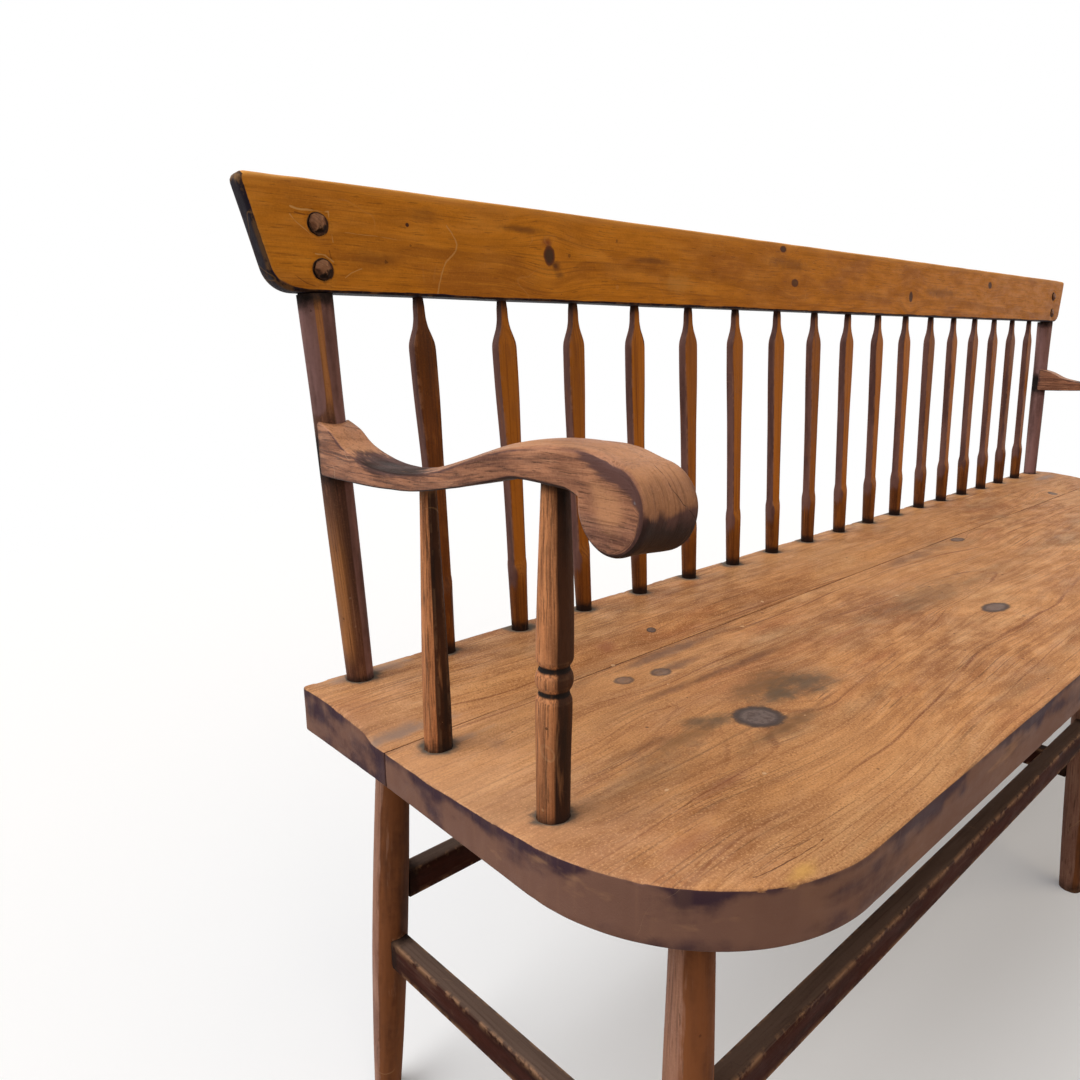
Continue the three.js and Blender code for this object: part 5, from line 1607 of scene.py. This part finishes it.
def make_arm(name, side, post_axes, cutters):
    node = f"arm_{name}"
    joint = ARM_CROWN * ARM_JOINT_SHARE
    axis = post_axes.out([(0, 0, joint)])[0]
    head = ends_of(f"arm_post_{name}", 2)[1]
    rear_setback = SEAT_BACK - axis[1]
    start = rear_setback + ARM_CHEEK_SETBACK
    outline = arm_outline(start)
    track = np.column_stack([outline, np.full(len(outline), side)])
    wear = 1 + 0.25 * value_noise(track, 28 * MM, 11) + 0.1 * value_noise(track, 8 * MM, 12)
    outer = ARM_EASE + (ARM_OUTER_EASE - ARM_EASE) * rise(outline[:, 0], 0.5 * ARM_REACH, 0.9 * ARM_REACH)
    eases = [outer, np.full(len(outline), ARM_EASE)]
    rings = eased_rings(ARM_WIDTH_SCROLL, *(wear * each for each in eases[::-side]), 12, 6)

    def place(flat):
        setback, height, depth = flat.T
        beyond = (head[0] - axis[0]) * (2 * ARM_REACH - ARM_POST_SETBACK) / (ARM_POST_SETBACK - rear_setback)
        centre = np.interp(setback, [rear_setback, ARM_POST_SETBACK, 2 * ARM_REACH],
                           [axis[0], head[0], head[0] + beyond])
        width = np.interp(setback, [start, ARM_REACH], [ARM_WIDTH_BACK, ARM_WIDTH_SCROLL])
        across = (depth - ARM_WIDTH_SCROLL / 2) * width / ARM_WIDTH_SCROLL
        return np.stack([centre + across, SEAT_BACK - setback, SEAT_TOP + height], 1)
    rows = np.vstack([outline + inward(outline) * (wear * outer)[:, None] + inward(outline) * room
                      for room in (1.5 * MM, 3 * MM, 5 * MM)])
    mesh = plate_mesh(node, outline, rings, 4 * MM, place, rows)

    def hand_work(places, normals):
        setback = SEAT_BACK - places[:, 1]
        middle = np.interp(setback, [rear_setback, ARM_POST_SETBACK], [axis[0], head[0]])
        off = np.clip(np.abs(places[:, 0] - middle) / (0.5 * ARM_WIDTH_BACK), 0, 1)
        crown = ARM_TOP_CROWN * smooth_curve(ARM_TOP_CROWN_SHARES, setback / ARM_REACH) * (1 - off ** 3)
        lift = crown * rise(normals[:, 2], 0.2, 0.8)
        inwards = rise(side * (middle - places[:, 0]), -0.5 * ARM_WIDTH_BACK, 0.7 * ARM_WIDTH_BACK)
        lift = lift - SCROLL_INNER_DROP * inwards * rise(setback, ARM_POST_SETBACK, ARM_REACH - SCROLL_RADIUS)
        wave = 0.35 * MM * value_noise(places_at(places, side), 42 * MM, 13)
        wave = wave + 0.12 * MM * value_noise(places_at(places, side), 13 * MM, 14)
        return normals * wave[:, None] + np.outer(lift, UP)
    moved(mesh, hand_work)
    piece = add_piece(node, mesh, arm_wood)
    cut(piece, cutters)
    axes = Axes((axis[0], SEAT_BACK, SEAT_TOP), (-side, 0, 0), UP)
    middle_line = np.array([(reach, height) for (reach, _), height in
                            zip(ARM_UNDER_SHARES[::-1], ARM_MIDDLE_SHARES)])

    def masks(local, facing):
        up, down = rise(facing[:, 1], 0.5, 0.9), rise(-facing[:, 1], 0.3, 0.8)
        setback, height = np.abs(local[:, 0]), local[:, 1]
        waver = value_noise(places_at(local, side), 40 * MM, 15)
        ragged = value_noise(places_at(local, side), np.array([30, 9, 9]) * MM, 16)
        low_front = rise(height + 4 * MM * ragged, ARM_CROWN - SCROLL_RADIUS, ARM_CROWN - SCROLL_RADIUS * 1.8)
        cheek = rise(np.abs(facing[:, 2]), 0.7, 0.95)
        room = room_inside(np.stack([setback, height], 1), outline)
        middle = ARM_CROWN * np.interp(setback / ARM_REACH, *middle_line.T)
        turn = np.arctan2(height - SCROLL_CENTRE[1], setback - SCROLL_CENTRE[0])
        at_scroll = rise(setback, ARM_POST_SETBACK - 10 * MM, ARM_POST_SETBACK + 20 * MM)
        upper = (1 - at_scroll) * rise(height, middle - 3 * MM, middle + 3 * MM)
        ahead = rise(turn, -70 * DEGREE, -40 * DEGREE)
        upper = upper + at_scroll * ahead * rise(turn, 150 * DEGREE, 110 * DEGREE)
        band = 0.6 * rise(room + 1.5 * MM * ragged, ARM_BAND, 0.3 * ARM_BAND) * (1 - at_scroll)
        reach = SCROLL_BAND * (0.35 + 0.75 * rise(turn, 5 * DEGREE, 60 * DEGREE))
        band = band + rise((room + 2 * MM * ragged) / reach, 1, 0.1) * at_scroll
        face = cheek * at_scroll * rise(room, 10 * MM, 19 * MM)
        front = rise(np.abs(facing[:, 0]), 0.3, 0.9) * at_scroll * (1 - low_front)
        return {
            "rubbed": np.clip(0.65 * up * (0.8 + 0.4 * waver) + 0.6 * face + 0.45 * front, 0, 1),
            "stain": np.clip(down + low_front * (1 - cheek) + 0.6 * band * upper * cheek, 0, 1),
            "deep": np.clip(down + low_front * (1 - cheek) - 0.3 * band, -0.3, 1),
            "grime": 0.4 * rise(setback, 20 * MM, 8 * MM),
        }

    def follow(local):
        middle = ARM_CROWN * np.interp(np.abs(local[:, 0]) / ARM_REACH, *middle_line.T)
        flow = local - np.outer(ARM_GRAIN_FOLLOW * (middle - ARM_CROWN), (0, 1, 0))
        out = np.stack([np.abs(local[:, 0]), local[:, 1]], 1) - SCROLL_CENTRE
        turn = np.arctan2(out[:, 1], out[:, 0])
        skin = rise(np.linalg.norm(out, axis=1), SCROLL_RADIUS - 4 * MM, SCROLL_RADIUS - 1 * MM)
        skin = skin * rise(out[:, 0], -4 * MM, 14 * MM)
        unrolled = SCROLL_CENTRE[0] + SCROLL_RADIUS * (0.5 * math.pi - turn)
        level = np.full(len(local), flow[:, 1].max())
        wrapped = np.stack([np.sign(local[:, 0]) * unrolled, level, local[:, 2]], 1)
        return flow + skin[:, None] * (wrapped - flow)
    dress(piece, axes, ALONG_X, 90 + side, masks, follow=follow)


# Seat boards

def dish(y):
    """How far the seat's top is worn down at a place across it."""
    return DISH_DEPTH * smooth_curve(DISH_SHARES, (SEAT_BACK - y) / SEAT_DEPTH)


def make_seat_board(node, outline, seam_y, cutters, feet, seed):
    track = np.column_stack([outline, np.full(len(outline), seed)])
    by_seam = rise(np.abs(outline[:, 1] - seam_y), 3 * MM, 1 * MM)
    chips = rise(value_noise(track, 16 * MM, seed) + 0.5 * value_noise(track, 5 * MM, seed + 1), 0.45, 1.0)
    top_ease = SEAT_TOP_EASE * (1 + 0.3 * value_noise(track, 60 * MM, seed + 2) + 1.1 * chips)
    across = SEAT_BACK - outline[:, 1]
    worn_round = rise(across, 42 * MM, 72 * MM) * rise(across, 128 * MM, 100 * MM)
    at_end = rise(np.abs(outline[:, 0]), END - 8 * MM, END - 1 * MM)
    top_ease = top_ease + SEAT_WORN_EASE * worn_round * at_end
    top_ease = top_ease * (1 - by_seam) + SEAM_EASE * by_seam
    lower_ease = SEAT_LOWER_EASE * (1 - by_seam) + SEAM_EASE * by_seam
    rings = eased_rings(SEAT_THICKNESS, top_ease, lower_ease, 8)

    def place(flat):
        x, y, depth = flat.T
        return np.stack([x, y, SEAT_TOP - depth - dish(y) * (1 - depth / SEAT_THICKNESS)], 1)
    mesh = plate_mesh(node, outline, rings, 7 * MM, place)

    def hand_work(places, normals):
        wave = value_noise(places, np.array([160, 45, 90]) * MM, seed + 3)
        dents = rise(value_noise(places, 13 * MM, seed + 4), 0.55, 0.95)
        saw = value_noise(places, np.array([200, 9, 9]) * MM, seed + 5) * (1 - np.abs(normals[:, 2]))
        return normals * (SEAT_WAVE * wave - 0.25 * MM * dents + 0.2 * MM * saw)[:, None]
    moved(mesh, hand_work)
    piece = add_piece(node, mesh, seat_wood)
    cut(piece, cutters)
    axes = Axes((0, SEAT_BACK, SEAT_TOP), UP, BACKWARD)

    def masks(local, facing):
        x, y, z = local.T
        top = rise(facing[:, 2], 0.3, 0.8)
        side = rise(np.abs(facing[:, 2]), 0.75, 0.3)
        waver = value_noise(local, 22 * MM, 31) + 0.6 * value_noise(local, 8 * MM, 32)
        halo = np.zeros(len(local))
        ring = np.zeros(len(local))
        for foot_x, foot_y, radius in feet:
            away = np.hypot(x - foot_x, SEAT_BACK + y - foot_y) - radius
            halo = np.maximum(halo, rise(away + 5 * MM * waver, 17 * MM, 0))
            ring = np.maximum(ring, rise(away, 2.2 * MM, 0.6 * MM))
        in_places = rise(value_noise(local, 90 * MM, 33), -0.2, 0.5)
        back_edge = rise(-y + 9 * MM * waver, 22 * MM, 4 * MM) * in_places
        from_seam = np.abs(SEAT_BACK + y - seam_y)
        greyed = rise(value_noise(local, np.array([70, 400, 400]) * MM, 34), 0.0, 0.6)
        seam_grey = rise(from_seam + 8 * MM * waver, 26 * MM, 4 * MM) * greyed
        grime = top * (0.42 * halo + 0.45 * ring + 0.3 * back_edge + 0.3 * seam_grey)
        below = -z - dish(SEAT_BACK + y)
        ragged = value_noise(local, np.array([40, 40, 400]) * MM, 36)
        ragged = ragged + 0.5 * value_noise(local, 9 * MM, 37)
        patches = value_noise(local, np.array([60, 34, 26]) * MM, 38)
        patches = patches + 0.5 * value_noise(local, 14 * MM, 39)
        upper = rise(below + 4 * MM * ragged, 30 * MM, 5 * MM)
        joint = rise(from_seam + 5 * MM * waver, 24 * MM, 8 * MM) * (seam_y == SEAM_BACK)
        smudges = value_noise(local, np.array([80, 52, 20]) * MM, 40)
        smudges = smudges + 0.4 * value_noise(local, 11 * MM, 41)
        dark = upper * rise(patches, -0.45, 0.5) + 0.8 * joint + 0.5 * rise(below, 9 * MM, 2 * MM)
        dark = dark + 0.45 * rise(smudges, 0.0, 0.8)
        saw = value_noise(local, np.array([90, 4, 60]) * MM, 42) * side
        creep = rise(below + 1.2 * MM * ragged, -0.6 * MM, 1.6 * MM)
        return {
            "stain": np.clip(side * creep + rise(-facing[:, 2], 0.5, 0.9), 0, 1),
            "grime": grime,
            "deep": np.clip(side * (1.15 * dark - 0.45 + 0.1 * saw), -0.45, 1),
            "tone": 0.07 * saw,
            "rubbed": 0.5 * top * rise(value_noise(local, 170 * MM, 35), -0.5, 0.8),
        }
    dress(piece, axes, ALONG_X, seed, masks)


# Putting it together

spindle_cutters = [make_spindle(i) for i in range(SPINDLES)]
posts = [make_back_post(name, side) for name, side in SIDES]
arm_post_cutters = [make_arm_post(name, side) for name, side in SIDES]
short_cutters = [make_short_spindle(name, side) for name, side in SIDES]
legs = {(row, name): make_leg(row, name, column) for row in ("rear", "front") for name, column in COLUMNS}
pegs = [make_peg(f"crest_peg_{name}_{level}", 50 + 2 * side + j)
        for name, side in SIDES for j, level in enumerate(PEG_LEVELS)]
make_crest([post[2] for post in posts], spindle_cutters, pegs)
for i, (name, side) in enumerate(SIDES):
    make_arm(name, side, posts[i][0], [posts[i][1], arm_post_cutters[i], short_cutters[i]])

long_cutters = {
    (row, name): make_stretcher(f"stretcher_{row}_{name}", 0, 200 + 2 * j + i)
    for j, row in enumerate(("rear", "front")) for i, (name, _) in enumerate(SIDES)
}
cross_cutters = {name: make_stretcher(f"stretcher_cross_{name}", 1, 210 + column) for name, column in COLUMNS}
for (row, name), leg in legs.items():
    beside = {"left": ("left",), "middle": ("left", "right"), "right": ("right",)}[name]
    cut(leg[0], [*(long_cutters[row, side] for side in beside), cross_cutters[name]])
    dress_leg(leg)

dowel_cutters = [make_dowel(i) for i in range(5)]
feet_cutters = spindle_cutters + [post[1] for post in posts] + arm_post_cutters + short_cutters
feet_cutters += [leg[2] for leg in legs.values()]
standing = [(f"spindle_{i + 1:02d}", SPINDLE_FOOT / 2, SPINDLE_SOCKET) for i in range(SPINDLES)]
for name, _ in SIDES:
    standing += [
        (f"back_post_{name}", POST_FOOT / 2, POST_SOCKET),
        (f"arm_post_{name}", ARM_POST_FOOT / 2, ARM_POST_SOCKET),
        (f"arm_spindle_{name}", SHORT_FOOT / 2, SHORT_SOCKET),
    ]
feet = [(*stem(node, socket)[0].origin[:2], radius) for node, radius, socket in standing]

rear_outline = rounded_outline([
    (-END, SEAM_BACK, SEAM_CORNER_RADIUS), (END, SEAM_BACK, SEAM_CORNER_RADIUS),
    (END + SEAT_END_SKEW, SEAT_BACK, SEAT_BACK_RADIUS), (-END - SEAT_END_SKEW, SEAT_BACK, SEAT_BACK_RADIUS),
], 3 * MM)
front_outline = rounded_outline([
    (-END, SEAT_FRONT, SEAT_CORNER_RADIUS), (END, SEAT_FRONT, SEAT_CORNER_RADIUS),
    (END, SEAM_FRONT, SEAM_CORNER_RADIUS), (-END, SEAM_FRONT, SEAM_CORNER_RADIUS),
], 3 * MM)
make_seat_board("seat_rear_board", rear_outline, SEAM_BACK, feet_cutters + dowel_cutters, feet, 300)
make_seat_board("seat_front_board", front_outline, SEAM_FRONT, feet_cutters + dowel_cutters, feet, 320)


# Floor, light and camera

def background_rays(n):
    """1 for the rays that see the white background: the camera's, and those off gloss or through glass."""
    rays = n.add("ShaderNodeLightPath")
    return n.greatest(*(rays.outputs[f"Is {kind} Ray"] for kind in ("Camera", "Glossy", "Transmission")))


# The floor's half size and the distances between which it fades, in metres.
FLOOR_REACH = 9.0
FLOOR_STEPS = 24
FLOOR_FADE = (1.2, 3.6)
FLOOR_WHITE = (0.97, 0.97, 0.965)


def make_floor():
    """A pale floor that fades to the white background, and is white for the rays that see the background."""
    row = FLOOR_STEPS + 1
    axis = np.linspace(-FLOOR_REACH, FLOOR_REACH, row)
    grid = [(x, y, 0.0) for y in axis for x in axis]
    faces = [(j * row + i, j * row + i + 1, (j + 1) * row + i + 1, (j + 1) * row + i)
             for j in range(FLOOR_STEPS) for i in range(FLOOR_STEPS)]
    mesh = bpy.data.meshes.new("floor")
    mesh.from_pydata(grid, [], faces)
    floor = new_object("floor", mesh)
    material = bpy.data.materials.new("pale_floor")
    material.use_nodes = True
    n = Nodes(material.node_tree)
    position = n.add("ShaderNodeTexCoord").outputs["Object"]
    away = n.vector("LENGTH", position)
    seen = background_rays(n)
    tint = n.mix(seen, FLOOR_GLOW, FLOOR_WHITE)
    matte = n.add("ShaderNodeBsdfDiffuse", {"Color": tint}).outputs[0]
    white = n.add("ShaderNodeEmission", {"Color": (1, 1, 1, 1), "Strength": 1.0}).outputs[0]
    lift = n.rise(away, *FLOOR_FADE, 0.12, 1.0)
    shown = n.add("ShaderNodeMixShader", {0: n.times(lift, seen), 1: matte, 2: white}).outputs[0]
    n.add("ShaderNodeOutputMaterial", {"Surface": shown})
    mesh.materials.append(material)


def make_sky():
    """White for the rays that see the background. For the light, a window side fades to a dim warm room."""
    world = bpy.data.worlds.new("studio")
    bpy.context.scene.world = world
    world.use_nodes = True
    n = Nodes(world.node_tree)
    seen = background_rays(n)
    direction = n.add("ShaderNodeTexCoord").outputs["Generated"]
    window = np.array(WINDOW_SIDE) / np.linalg.norm(WINDOW_SIDE)
    towards = n.rise(n.vector("DOT_PRODUCT", direction, tuple(window)), -0.2, 1.0)
    tint = n.mix(seen, n.mix(towards, ROOM_GLOW, WINDOW_GLOW), (1, 1, 1))
    background = n.add("ShaderNodeBackground", {"Color": tint, "Strength": 1.0})
    n.add("ShaderNodeOutputWorld", {"Surface": background.outputs[0]})


def make_lamp(name, towards, strength, spread, tint=(1, 1, 1)):
    lamp = bpy.data.lights.new(name, "SUN")
    lamp.energy = strength
    lamp.angle = spread
    lamp.color = tint
    holder = new_object(name, lamp)
    axes = Axes((0, 0, 3), towards, BACKWARD)
    holder.matrix_world = Matrix.LocRotScale(axes.origin, Matrix(axes.basis.T.tolist()).to_quaternion(), None)


WINDOW_SIDE = (-0.62, 0.25, 0.74)
WINDOW_GLOW = (0.62, 0.63, 0.66)
ROOM_GLOW = (0.075, 0.058, 0.045)
FLOOR_GLOW = (0.3, 0.25, 0.2)
make_floor()
make_sky()
make_lamp("window", WINDOW_SIDE, 2.1, 48 * DEGREE)
make_lamp("room", (0.25, -0.8, 0.55), 0.9, 70 * DEGREE, (1, 0.86, 0.68))

# The camera stands left of the bench and in front of it, as the photographer did.
CAMERA_PLACE = (-END - 279.73 * MM, SEAT_BACK - 640.3 * MM, SEAT_TOP + 295.29 * MM)
CAMERA_AZIMUTH = -41.284 * DEGREE
CAMERA_ELEVATION = 13.698 * DEGREE
CAMERA_ROLL = -0.452 * DEGREE
CAMERA_LENS_MM = 26.59


def make_camera():
    a, e, t = CAMERA_AZIMUTH, CAMERA_ELEVATION, CAMERA_ROLL
    back = np.array([math.sin(a) * math.cos(e), -math.cos(a) * math.cos(e), math.sin(e)])
    right = np.array([math.cos(a), math.sin(a), 0])
    up = np.cross(back, right)
    right, up = right * math.cos(t) + up * math.sin(t), up * math.cos(t) - right * math.sin(t)
    lens = bpy.data.cameras.new("camera")
    lens.lens = CAMERA_LENS_MM
    lens.sensor_width = 36
    holder = new_object("camera", lens)
    turn = Matrix(np.array([right, up, back]).T.tolist()).to_4x4()
    holder.matrix_world = Matrix.Translation(CAMERA_PLACE) @ turn
    bpy.context.scene.camera = holder


make_camera()
bpy.context.scene.view_settings.view_transform = "Standard"
